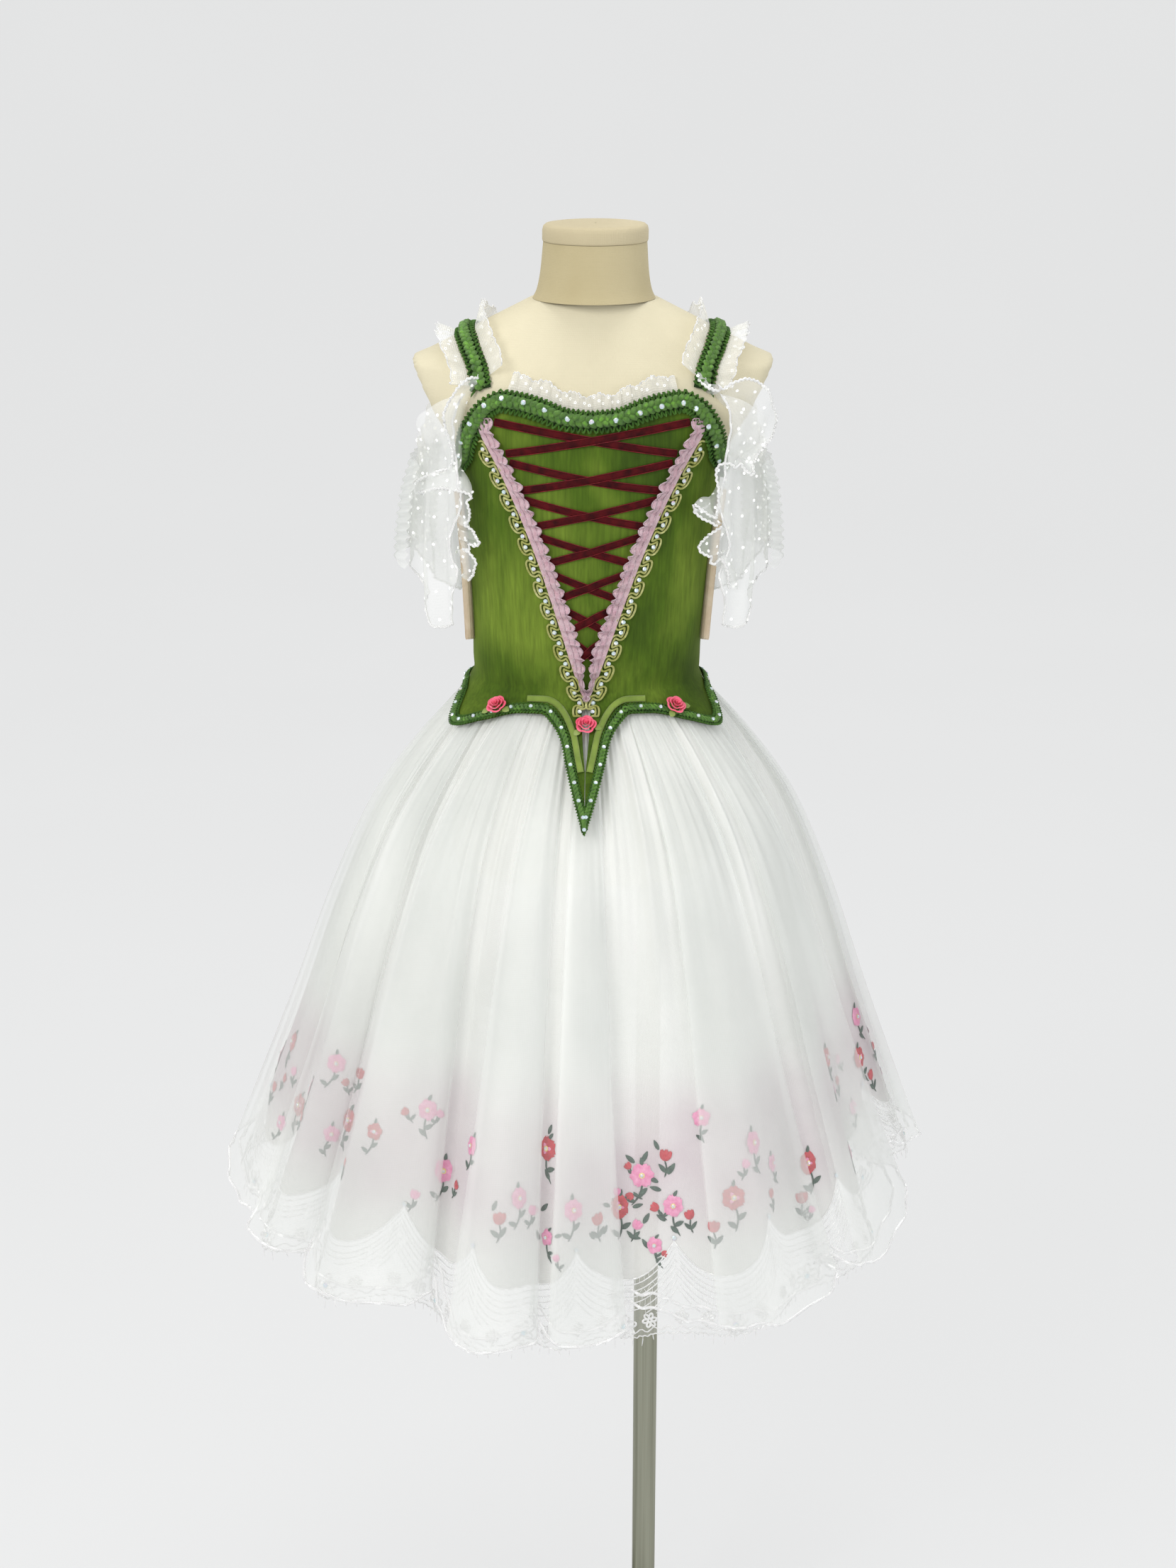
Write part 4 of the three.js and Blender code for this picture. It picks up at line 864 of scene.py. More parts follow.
def make_overlay(layer, node, cols, rows):
    """Sheer layer and its rolled hem; where a fold hangs over the gap beside it, the gap is clearer."""
    u = np.linspace(-180, 180, cols + 1)[:-1]
    v = np.linspace(0, 1, rows)[:, None] ** 0.85
    hem = hem_level(u, layer)
    z = hem + (WAIST - hem) * v
    points, _ = skirt_point(u[None, :], z, layer)
    ripple = 1.6 * np.exp(-(z - hem) / 14) * np.sin(np.radians(u) * 97)
    points[..., 0] += ripple * np.sin(np.radians(u))
    points[..., 1] -= ripple * np.cos(np.radians(u))
    bag = Bag()
    add_grid(bag, points, True)
    phase = folds(u + 180 / cols)[1]
    flat_part = (phase > 0.96 * np.pi) & (phase < 1.7 * np.pi)
    bag.marks = np.tile(flat_part.astype(int), rows - 1).tolist()
    piece = bag.make("cloth_" + layer, [MAT[layer], MAT[layer + "_flat"]], [node])
    edge = Bag()
    add_tube(edge, points[0], 1.4, 6, True)
    rolled = edge.make("rolled_hem_" + layer, [MAT["hem"]])
    return piece, rolled


outer_piece, outer_hem = make_overlay("outer", "skirt_overlay_outer", 1080, 46)
inner_piece, inner_hem = make_overlay("inner", "skirt_overlay_inner", 900, 36)

# Scallops of the lace border: their number, the level of their upper edge and how far it rises
SCALLOPS = 21
LACE_TOP, LACE_RISE = 570, 37
scallop = 360 / SCALLOPS


def lace_top(u):
    """Upper edge of the lace: arcs that meet in points."""
    share = (np.asarray(u, float) / scallop) % 1
    return LACE_TOP + LACE_RISE * np.abs(2 * share - 1) ** 2.2 + side_rise(u)


def make_base():
    """Embroidered layer, down to the lace."""
    u = np.linspace(-180, 180, 841)[:-1]
    v = np.linspace(0, 1, 40)[:, None]
    low = lace_top(u)
    points, _ = skirt_point(u[None, :], low + (WAIST - low) * v, "base")
    bag = Bag()
    add_grid(bag, points, True)
    piece = bag.make("cloth_ground", [MAT["base"]], ["skirt_embroidered"])


make_base()

# Trims of the bodice

# Distance below the edge of the middle of the neckline braid and of the basque trim
BRAID_MIDDLE, TRIM_MIDDLE = 8.5, -3.6


def edge_route(edge, distance, lift, step):
    """Even points beside an edge of the bodice, with their normals."""
    fine = np.linspace(-180, 180, 1441)
    centre, _ = over(bodice_radius, *beside(edge, fine, np.full(fine.shape, 4.0)))
    even, length = along_route(centre, step)
    turn = np.interp(even, length, fine)
    return over(bodice_radius, *beside(edge, turn, value_at(distance, even)), value_at(lift, even))


def plait(bag, route, middle, spread, lift, pitch, radius, step=1.7):
    """Three strands plaited along a route function of distance and lift."""
    for k in range(3):
        phase = 2 * np.pi * k / 3
        points, normals = route(
            lambda s: middle + spread * np.sin(2 * np.pi * s / pitch + phase),
            lambda s: lift + 0.9 * radius * np.sin(4 * np.pi * s / pitch + 2 * phase), step)
        add_tube(bag, points, radius, 6, False, normals, 0.75)


def looped_edge(bag, route, middle, reach, lift, pitch, radius, step=0.8, mark=2):
    """Fine cord that swings in and out along an edge."""
    points, normals = route(
        lambda s: middle + reach * np.cos(2 * np.pi * s / pitch),
        lambda s: lift + 0.8 * radius * np.sin(2 * np.pi * s / pitch + 0.8), step)
    add_tube(bag, points, radius, 5, False, normals, 1, mark)


def neck_route(distance, lift, step):
    return edge_route(neckline, distance, lift, step)


def basque_route(distance, lift, step):
    return edge_route(basque, distance, lift, step)


def make_neck_braid():
    bag = Bag()
    points, normals = neck_route(BRAID_MIDDLE, 0.4, 3)
    add_band(bag, points[:-1], normals[:-1], 16, 1.2, 0, 1, True)
    plait(bag, neck_route, BRAID_MIDDLE, 3.3, 2.9, 17, 2.9)
    for middle in (1.3, 16.2):
        looped_edge(bag, neck_route, middle, 2.5, 2.3, 4.6, 1.0)
    bag.make("neckline_braid_cords", [MAT["braid"], MAT["braid_back"], MAT["braid_dark"]],
             ["neckline_braid"])


def make_basque_trim():
    bag = Bag()
    pitch = 8
    points, normals = basque_route(TRIM_MIDDLE, 0.4, 2.4)
    add_band(bag, points[:-1], normals[:-1], 6.5, 1.0, 0, 1, True)
    for phase in (0, np.pi):
        points, normals = basque_route(
            lambda s: TRIM_MIDDLE + 1.5 * np.sin(2 * np.pi * s / pitch + phase),
            lambda s: 2.1 + 0.8 * np.cos(2 * np.pi * s / pitch + phase), 1.2)
        add_tube(bag, points, 1.5, 6, False, normals, 0.9)
    looped_edge(bag, basque_route, -0.4, 1.2, 1.7, 3.2, 0.75)
    looped_edge(bag, basque_route, -7.0, 0.9, 1.7, 3.2, 0.65)
    bag.make("basque_trim_cords", [MAT["braid"], MAT["braid_back"], MAT["braid_dark"]],
             ["basque_trim"])


# All the stones are one piece
gems = Bag()


def stones(points, normals, radius, lift=0.0):
    for p, n in zip(points, normals):
        add_gem(gems, p + n * lift, n, radius)


make_neck_braid()
make_basque_trim()
stones(*neck_route(lambda s: BRAID_MIDDLE + 3.2 * np.sin(s * 0.9), 5.9, 21), 2.5)
stones(*basque_route(TRIM_MIDDLE, 3.9, 19), 1.9)


def v_flare(z):
    """The gimp and the pink lace leave the seam towards the neckline."""
    return 9 * np.clip((z - 1190) / 130, 0, 1) ** 1.6


def v_route(inset, lift, step, sign, foot, head):
    """Even points along the seam of the V, moved sideways by inset."""
    fine = np.linspace(foot, head, 500)
    centre, _ = over(bodice_radius, front_angle(seam_x(fine), fine), fine)
    even, length = along_route(centre, step)
    z = np.interp(even, length, fine)
    return over(bodice_radius, sign * front_angle(seam_x(z) + v_flare(z) + inset, z), z, lift)


def make_gimp(side, sign):
    """Gimp braid: two cords side by side that run in loops, with a stone in each loop."""
    bag = Bag()
    pitch, sway, curl = 21.5, 5.0, 3.3
    fine = np.linspace(1055, 1330, 700)
    centre, _ = over(bodice_radius, front_angle(seam_x(fine), fine), fine)
    length = run_length(centre)
    loops = int(length[-1] // pitch)
    s = np.linspace(0, loops * pitch, loops * 30 + 1)
    turn = 2 * np.pi * s / pitch
    heading = unit(np.stack([sway * np.cos(turn), pitch / 2 / np.pi - 2 * curl * np.cos(2 * turn)], -1))
    for offset in (-1.6, 1.6):
        along = np.clip(s - curl * np.sin(2 * turn) - offset * heading[:, 0], 0, length[-1])
        z = np.interp(along, length, fine)
        inset = 1.5 + v_flare(z) + sway * np.sin(turn) + offset * heading[:, 1]
        # Its foot lies on the basque's trim
        lift = 1.6 + np.where(z < 1100, 1.0, 0)
        points, normals = over(bodice_radius, sign * front_angle(seam_x(z) + inset, z), z, lift)
        add_tube(bag, points, 1.05, 6, False, normals)
    bag.make("gimp_cords_" + side, [MAT["gimp"]], ["gimp_" + side])
    middle = (np.arange(2 * loops) + 0.5) * pitch / 2
    z = np.interp(middle, length, fine)
    reach = 1.5 + v_flare(z) + 0.6 * np.where(np.arange(2 * loops) % 2, -1, 1)
    points, normals = over(bodice_radius, sign * front_angle(seam_x(z) + reach, z), z, 2.6)
    stones(points, normals, 2.1)


def ruffle(bag, inner, outer, normals, depth, count, scallops, rows=7, cord=0.5, phase=0.0, cut=0.1):
    """Gathered strip between an inner and an outer line.

    Its waves grow outwards, and its outer edge is scalloped and corded."""
    s = np.linspace(0, 1, len(inner))
    share = np.linspace(0, 1, rows)[:, None]
    scallop_cut = cut * (1 - np.abs(np.sin(np.pi * scallops * s)))
    reach = share * (1 - scallop_cut[None, :] * share)
    line = inner[None] + (outer - inner)[None] * reach[..., None]
    turn = 2 * np.pi * count * s + phase
    wave = depth * share ** 0.8 * (np.sin(turn) + 0.35 * np.sin(4.3 * np.pi * count * s + 1))
    points = line + normals[None] * (wave + depth * 1.1 * share)[..., None]
    ahead = unit(np.gradient(inner, axis=0))
    points = points + ahead[None] * (0.5 * depth * share * np.cos(turn))[..., None]
    add_grid(bag, points)
    add_tube(bag, points[-1], cord, 5, mark=1)
    return points


def make_pink_lace(side, sign):
    """Gathered lace inside the V, narrower at its foot, with two more threads along it."""
    bag = Bag()
    foot, head = 1066, 1334
    depth, count = 2.6, 19
    inner, normals = v_route(-4.0, 2.6, 1.0, sign, foot, head)
    outer, _ = v_route(-19.0, 2.9, 1.0, sign, foot, head)
    keep = np.clip((inner[:, 2] - foot) / 45, 0.42, 1)[:, None]
    outer = inner + (outer - inner) * keep
    ruffle(bag, inner, outer, normals, depth, count, 33, 9, 0.6, cut=0.3)
    for share in (0.35, 0.7):
        middle = inner + (outer - inner) * share
        wave = depth * share ** 0.8 * np.sin(2 * np.pi * count * np.linspace(0, 1, len(inner)))
        add_tube(bag, middle + normals * (wave + 2.9 * share + 0.5)[:, None], 0.4, 4, mark=1)
    piece = bag.make("pink_lace_ruffle_" + side, [MAT["pink_lace"], MAT["pink_cord"]],
                     ["pink_lace_" + side])


def make_lacing():
    """Velvet ribbons that cross in the V, with a selvedge along each edge."""
    share = np.linspace(0, 1, 61)
    for i, middle in enumerate(CROSSINGS):
        above = (CROSSINGS[i - 1] - middle) / 2 - 4.2 if i else 15
        below = (middle - CROSSINGS[i + 1]) / 2 - 4.2 if i < len(CROSSINGS) - 1 else 10
        for layer, kind in enumerate(("fall", "rise")):
            level = middle + above - (above + below) * share
            sag = -2.2 * np.sin(np.pi * share) * (0.4 + 0.6 * ((i * 37 + layer * 17) % 10) / 10)
            reach = np.maximum(seam_x(level) - 11, 6.5)
            x = (1 - 2 * layer) * (-reach + 2 * reach * share)
            z = level + sag * (1 - 0.5 * layer)
            # The second ribbon passes over the first one, on a shorter way where they are shorter
            half_way = 0.06 + 3.0 / (30 + abs(reach.mean()))
            crossing = np.exp(-((share - 0.5) / half_way) ** 2)
            points, normals = over(bodice_radius, front_angle(x, z), z, 0.7 + layer * crossing * 1.9)
            twist = 0.10 * np.sin(2 * np.pi * share + i)
            normals = unit(normals + twist[:, None] * np.array([0, 0, 1.0]))
            bag = Bag()
            add_band(bag, points, normals, 6.8, 1.0, 0.25)
            _, side, up = frames(points, normals)
            for edge in (-3.3, 3.3):
                add_tube(bag, points + side * edge + up * 0.75, 0.42, 4, normals=normals, mark=1)
            name = f"lacing_{i + 1}_{kind}"
            bag.make("velvet_" + name, [MAT["velvet"], MAT["velvet_edge"]], [name])


def make_basque_ribbons():
    turn = smooth_curve(range(9), [34, 28, 23, 18.5, 14.5, 11, 8.4, 6.6, 5.6])(np.linspace(0, 8, 90))
    for side, sign in (("left", -1), ("right", 1)):
        at, z = beside(basque, turn, np.full(turn.shape, -11.5))
        points, normals = over(bodice_radius, sign * at, z, 0.7)
        bag = Bag()
        add_band(bag, points, normals, 6, 0.9, 0.2)
        bag.make("olive_ribbon_" + side, [MAT["olive"]], ["basque_ribbon_" + side])


for side, sign in (("left", -1), ("right", 1)):
    make_gimp(side, sign)
    make_pink_lace(side, sign)
make_lacing()
make_basque_ribbons()

# Roses

# Rings of petals: their number, inner and outer radius, inner and outer height, how far they open
PETALS = [
    (2, 0.3, 1.7, 3.0, 8.2, 0.1), (3, 1.4, 3.7, 1.8, 7.6, 0.5), (4, 2.8, 6.0, 0.8, 6.2, 1.0),
    (5, 4.4, 8.2, 0.2, 4.0, 1.5)]
# Turns of the ribbon leaves in radians, and how much larger the petals are than in the table
LEAF_TURNS, ROSE_SIZE = (-0.5, 0.45, 2.7), 1.25


def add_petal(bag, foot, axes, middle, count, near, far, low, high, open_out):
    side, rise, normal = axes
    u = np.linspace(-1, 1, 9)[None, :] * (np.pi / count * 1.25)
    v = np.linspace(0, 1, 6)[:, None]
    radius = ROSE_SIZE * (near + (far - near) * v ** 0.8 * np.cos(u * count / 2.9) ** 0.5)
    radius = radius + 0.25 * np.sin(5 * u)
    height = low + (high - low) * np.sin(v * np.pi * (0.5 + 0.12 * open_out)) * np.cos(u * 0.5)
    a = middle + u
    points = foot + (radius * np.cos(a))[..., None] * side + (radius * np.sin(a))[..., None] * rise
    add_grid(bag, points + height[..., None] * normal)


def add_ribbon_leaf(bag, foot, axes, turn):
    side, rise, normal = axes
    v = np.linspace(0, 1, 8)[:, None]
    w = np.linspace(-1, 1, 5)[None, :]
    reach = 7 + 9 * v + 0 * w
    across = w * 3.2 * np.sin(np.pi * v) ** 0.7
    out = unit(side * np.cos(turn) - rise * np.sin(abs(turn) * 0.4))
    height = 1.4 + 0.8 * np.sin(np.pi * v) - 0.5 * w ** 2
    points = foot + reach[..., None] * out + across[..., None] * np.cross(normal, out)
    add_grid(bag, points + height[..., None] * normal, mark=1)


def make_rose(node, x, z, lift, turn):
    foot, normal = over(bodice_radius, front_angle(np.float64(x), np.float64(z)), z, lift)
    side = unit(np.cross([0, 0, 1.0], normal))
    axes = side, np.cross(normal, side), normal
    bag = Bag()
    for ring, (count, *shape) in enumerate(PETALS):
        for k in range(count):
            add_petal(bag, foot, axes, turn + ring * 0.8 + 2 * np.pi * k / count, count, *shape)
    for leaf_turn in LEAF_TURNS:
        add_ribbon_leaf(bag, foot, axes, leaf_turn)
    bag.make("ribbon_" + node, [MAT["rose"], MAT["leaf"]], [node])


make_rose("rose_left", -83, 1057, 3.6, 0.3)
make_rose("rose_centre", 0, 1049, 0.6, 1.4)
make_rose("rose_right", 83, 1057, 3.6, 2.2)

# Straps and frills

def shoulder_height(x, y):
    """Level of the shoulder at a place in plan, by halving."""
    low, high = np.full(np.shape(x), 1306.0), np.full(np.shape(x), float(FORM_HEAD))
    for _ in range(24):
        z = (low + high) / 2
        side = x - LEAN * (z - LEAN_LEVEL)
        inside = np.hypot(side, y) < form_radius(np.degrees(np.arctan2(side, -y)), z)
        low, high = np.where(inside, z, low), np.where(inside, high, z)
    return (low + high) / 2


strap_x = smooth_curve(STRAP[:, 0], STRAP[:, 1])


def strap_point(sign, y, across, lift):
    """Point over the shoulder: place along the strap's plan route, across from it and above it."""
    def spot(dx, dy):
        x = sign * (strap_x(y) + dx) + 4
        return np.stack([x, y + dy, shoulder_height(x, y + dy)], -1)

    tilt = 0.86
    here = spot(across * tilt, 0)
    normal = np.cross(spot(across * tilt + 1, 0) - here, spot(across * tilt, 1) - here)
    normal = unit(np.where(normal[..., 2:] < 0, -normal, normal))
    return here + np.asarray(lift)[..., None] * normal, normal


def strap_route(sign, front, back, step):
    """Plan places at even steps along the strap between a front and a back level."""
    fine = np.linspace(-79, 82, 500)
    line, _ = strap_point(sign, fine, 0 * fine, 0 * fine)
    ahead = fine < 0
    first = np.interp(front, line[ahead][:, 2], fine[ahead])
    rear = fine[~ahead][::-1]
    last = np.interp(back, line[~ahead][::-1][:, 2], rear)
    keep = np.linspace(first, last, 500)
    line, _ = strap_point(sign, keep, 0 * keep, 0 * keep)
    even, length = along_route(line, step)
    return np.interp(even, length, keep), even


def make_strap(side, sign):
    bag = Bag()

    def route(distance, lift, step):
        y, s = strap_route(sign, 1358, 1327, step)
        return strap_point(sign, y, value_at(distance, s), STRAP_GAP + value_at(lift, s))

    points, normals = route(0, 0.1, 3)
    add_band(bag, points, normals, 18, 1.2, 0, 1)
    plait(bag, route, 0, 3.3, 2.4, 17, 2.9)
    for middle in (-8.0, 8.0):
        looped_edge(bag, route, middle, 2.3, 1.8, 4.6, 1.0)
    bag.make("strap_braid_" + side, [MAT["braid"], MAT["braid_back"], MAT["braid_dark"]],
             ["strap_" + side])


def flower_dots(bag, points, rows, every, size):
    """Small five-petalled eyelets on a frill."""
    normal = unit(np.cross(np.gradient(points, axis=1), np.gradient(points, axis=0)))
    fifths = 2 * np.pi * np.arange(5) / 5
    for i, c in enumerate(range(every // 2, points.shape[1] - 1, every)):
        r = rows[i % len(rows)]
        n = normal[r, c]
        a = unit(points[r, c + 1] - points[r, c])
        b = np.cross(n, a)
        for t in fifths + i:
            middle = points[r, c] + size * (np.cos(t) * a + np.sin(t) * b) + 0.3 * n
            ring = [middle + 0.55 * size * (np.cos(x) * a + np.sin(x) * b) for x in fifths]
            bag.add(ring, [list(range(5))], mark=1)


def make_strap_frill(name, sign, edge, width, seed):
    """Frill along one edge of a strap; edge is -1 on its inner and 1 on its outer one."""
    count = 9
    y, _ = strap_route(sign, 1366, 1356, 0.9)
    near = STRAP_WIDTH / 2 + 0.4
    inner, normals = strap_point(sign, y, np.full(y.shape, edge * near), STRAP_GAP + 0.8 + 0 * y)
    outward = unit(np.cross(normals, unit(np.gradient(inner, axis=0))))
    if (outward[:, 0] * sign * edge).mean() < 0:
        outward = -outward
    outer = inner + outward * width * 0.8 + normals * width * 0.45
    bag = Bag()
    points = ruffle(bag, inner, outer, normals, 3.4, count, count * 3, 9, 0.6, phase=seed)
    flower_dots(bag, points, (3, 6, 4), 9, 1.1)
    node = "strap_frill_" + name
    piece = bag.make("lace_" + node, [MAT["frill"], MAT["lace"]], [node])


def make_neck_frill():
    turn = np.linspace(-46, 46, 260)
    edge = neckline(turn)
    low = place(turn, form_radius(turn, edge - 2) + 2.0, edge - 2)
    high = place(turn, form_radius(turn, edge + 13) + 3.4, edge + 14 + 2 * np.sin(turn * 0.4))
    _, normals = over(form_radius, turn, edge + 6)
    bag = Bag()
    points = ruffle(bag, low, high, normals, 1.9, 15, 46, 9, 0.55)
    flower_dots(bag, points, (4, 7, 5), 8, 1.0)
    piece = bag.make("lace_neckline_frill", [MAT["frill"], MAT["lace"]], ["neckline_frill"])


for side, sign in (("left", -1), ("right", 1)):
    make_strap(side, sign)
    make_strap_frill("inner_" + side, sign, -1, 19, 0.5 + sign)
    make_strap_frill("outer_" + side, sign, 1, 17, 2.0 + sign)
make_neck_frill()

# Sleeves

# Cascades at the front of the flounces: rows of free edge x, y, z and root x, y, z
LOBES = {
    "left": [
        [(-100, -70, 1370, -98, -62, 1370), (-107, -76, 1370, -99, -60, 1364),
         (-119, -84, 1364, -105, -58, 1353), (-127, -88, 1353, -109, -57, 1343),
         (-131, -88, 1339, -111, -56, 1330), (-130, -84, 1322, -112, -56, 1313),
         (-127, -78, 1304, -117, -54, 1298), (-128, -68, 1287, -120, -50, 1289),
         (-143, -52, 1279, -122, -44, 1284), (-161, -30, 1269, -136, -22, 1275),
         (-164, -10, 1257, -155, 0, 1262)],
        [(-164, -10, 1257, -155, 0, 1262), (-162, -24, 1253, -149, -10, 1267),
         (-149, -44, 1258, -138, -30, 1275), (-134, -62, 1264, -129, -42, 1280),
         (-120, -76, 1266, -122, -48, 1284), (-111, -84, 1264, -118, -52, 1283),
         (-107, -86, 1255, -117, -52, 1269), (-108, -80, 1244, -119, -52, 1253),
         (-114, -70, 1231, -121, -52, 1236)],
        [(-114, -70, 1231, -121, -52, 1236), (-106, -78, 1229, -121, -52, 1231),
         (-100, -86, 1224, -122, -52, 1224), (-99, -88, 1220, -121, -52, 1219),
         (-105, -82, 1215, -120, -54, 1214), (-115, -70, 1213, -119, -56, 1211)],
        [(-115, -70, 1212, -119, -56, 1211), (-109, -78, 1207, -120, -54, 1204),
         (-103, -84, 1202, -119, -54, 1197), (-102, -84, 1196, -118, -54, 1190),
         (-105, -78, 1187, -116, -56, 1184), (-112, -68, 1179, -115, -58, 1179)]],
    "right": [
        [(100, -70, 1366, 98, -62, 1370), (109, -80, 1361, 102, -60, 1363),
         (117, -86, 1362, 106, -58, 1356), (127, -88, 1369, 111, -57, 1348),
         (140, -84, 1371, 115, -56, 1339), (153, -76, 1367, 119, -55, 1333),
         (165, -66, 1357, 122, -54, 1326), (169, -58, 1343, 125, -52, 1319),
         (174, -50, 1329, 128, -50, 1312), (169, -50, 1309, 130, -48, 1303),
         (158, -56, 1295, 129, -46, 1296), (154, -60, 1288, 126, -46, 1291)],
        [(154, -60, 1288, 144, -44, 1293), (152, -66, 1279, 139, -44, 1294),
         (142, -74, 1285, 135, -44, 1295), (132, -80, 1295, 131, -46, 1294),
         (123, -82, 1294, 130, -48, 1289), (117, -84, 1287, 130, -50, 1282),
         (116, -84, 1276, 131, -50, 1269), (117, -82, 1262, 132, -50, 1256),
         (119, -78, 1250, 131, -50, 1244), (118, -72, 1239, 131, -50, 1235)],
        [(118, -72, 1239, 121, -54, 1270), (110, -80, 1245, 118, -56, 1264),
         (98, -86, 1252, 114, -58, 1257), (97, -88, 1249, 114, -60, 1249),
         (106, -86, 1241, 117, -62, 1240), (117, -78, 1231, 122, -62, 1231)],
        [(123, -72, 1233, 130, -50, 1229), (113, -80, 1227, 126, -52, 1222),
         (103, -86, 1218, 124, -54, 1214), (103, -86, 1210, 124, -54, 1206),
         (112, -82, 1203, 128, -54, 1199), (122, -76, 1199, 131, -52, 1193),
         (129, -70, 1186, 137, -50, 1179), (132, -62, 1170, 139, -48, 1167)]],
}
# Angles where the sleeve flounces begin and end
SLEEVE_FROM, SLEEVE_TO = 56, 124
NET = {"from": 74, "to": 114, "low": 1186, "top": 1286, "flare": 6}
ARMBAND = {"at": 77, "top": 1256, "low": 1114}


def through(rows, count):
    """Smooth curve through listed points, at even steps of their order."""
    rows = np.asarray(rows, float)
    padded = np.concatenate([2 * rows[:1] - rows[1:2], rows, 2 * rows[-1:] - rows[-2:-1]])
    t = np.linspace(0, len(rows) - 1, count)
    i = np.minimum(t.astype(int), len(rows) - 2)
    f = (t - i)[:, None]
    a, b, c, d = (padded[i + k] for k in range(4))
    square, cube = 2 * a - 5 * b + 4 * c - d, 3 * b - a - 3 * c + d
    return 0.5 * (2 * b + (c - a) * f + square * f ** 2 + cube * f ** 3)


def add_dots(bag, points, every, mark, seed=0, size=1.5):
    """Woven dots, spread over a sheet's grid in staggered rows."""
    normal = unit(np.cross(np.gradient(points, axis=1), np.gradient(points, axis=0)))
    across = np.linalg.norm(np.diff(points, axis=1), axis=-1).mean()
    along = np.linalg.norm(np.diff(points, axis=0), axis=-1).mean()
    step_c, step_r = max(int(every / across), 1), max(int(every / along), 1)
    turn = np.arange(8) * np.pi / 4
    for j, r in enumerate(range(step_r // 2, points.shape[0], step_r)):
        for i, c in enumerate(range((j % 2) * step_c // 2 + seed % 3, points.shape[1], step_c)):
            shift = int(step_r * 0.3 * math.sin(i * 2.4 + j * 1.7 + seed))
            r2 = min(max(r + shift, 0), points.shape[0] - 1)
            n = normal[r2, c]
            a = unit(np.cross(n, [0.2, 0.3, 0.9]))
            b = np.cross(n, a)
            for face in (1, -1):
                rim = points[r2, c] + 0.25 * face * n
                rim = rim + size * (np.cos(turn)[:, None] * a + np.sin(turn)[:, None] * b)
                top = points[r2, c] + 0.6 * face * n
                fan = [[k, (k + 1) % 8, 8][::face] for k in range(8)]
                bag.add(np.vstack([rim, top]), fan, mark=mark)


def corded(path, pitch=5.0, depth=0.5):
    """Slight wobble of a corded edge."""
    s = run_length(path)
    side = unit(np.cross(unit(np.gradient(path, axis=0)), [0.1, -0.9, 0.3]))
    wobble = depth * np.sin(2 * np.pi * s / pitch) + 0.4 * depth * np.sin(2.3 * s / pitch)
    return path + side * wobble[:, None]


def sleeve_radius(at, z):
    """Radius of a flounce with its seven folds and its finer creases."""
    share = np.clip((at - SLEEVE_FROM) / (SLEEVE_TO - SLEEVE_FROM), 0, 1)
    bulge = np.sin(np.pi * share) ** 0.6
    offset = sleeve_end(z) + sleeve_middle(z) * bulge
    folds = sleeve_depth(z) * (1 - np.cos(2 * np.pi * 7 * share))
    creases = 0.35 * sleeve_depth(z) * np.sin(2 * np.pi * 17 * share + z / 26) * np.sin(np.pi * share)
    return form_radius(at, z) + offset + folds + creases


def make_flounce(side, sign):
    share = np.linspace(0, 1, 150)[None, :]
    v = np.linspace(0, 1, 54)[:, None]
    first = SLEEVE_FROM + 6 * (1 - v) ** 0.6 + 1.6 * np.sin(v * 21) * (1 - v)
    at = first + (SLEEVE_TO - first) * share
    low, top = sleeve_low(at) + 9, sleeve_top(at)
    z = low + (top - low) * v + (1 - v) * 2.2 * np.sin(at / 1.9)
    swing = 1.6 * np.sin(z / 17 + at / 5) * np.sin(np.pi * v)
    points = place(sign * (at + swing), sleeve_radius(at, z), z)
    bag = Bag()
    add_grid(bag, points)
    add_dots(bag, points, 19, 1, 3 if sign > 0 else 8)
    rim = np.concatenate([points[:, 0][::-1], points[0], points[:, -1]])
    add_tube(bag, corded(rim), 1.1, 5, mark=1)
    piece = bag.make("tulle_flounce_" + side, [MAT["tulle"], MAT["lace"]],
                     ["sleeve_flounce_" + side])


def make_lobes(side):
    for k, rows in enumerate(LOBES[side]):
        count = 22 * len(rows)
        line = through(rows, count)
        edge, root = line[:, :3], line[:, 3:]
        v = np.linspace(0, 1, 13)[:, None, None]
        s = np.linspace(0, 1, count)[None, :, None]
        outward = unit(np.cross(edge - root, np.gradient(edge, axis=0)))
        outward = np.where(outward[:, 1:2] > 0, -outward, outward)[None]
        points = root[None] * (1 - v) + edge[None] * v
        folds = 1.6 * v * np.sin(2 * np.pi * (3 - 0.6 * k) * s + 3 * v)
        points = points + outward * (6 * np.sin(np.pi * v * 0.9) + folds)
        bag = Bag()
        add_grid(bag, points)
        add_dots(bag, points, 17, 1, k)
        add_tube(bag, corded(points[-1]), 1.15, 5, mark=1)
        piece = bag.make(f"tulle_cascade_{side}_{k + 1}", [MAT["tulle"], MAT["lace"]])


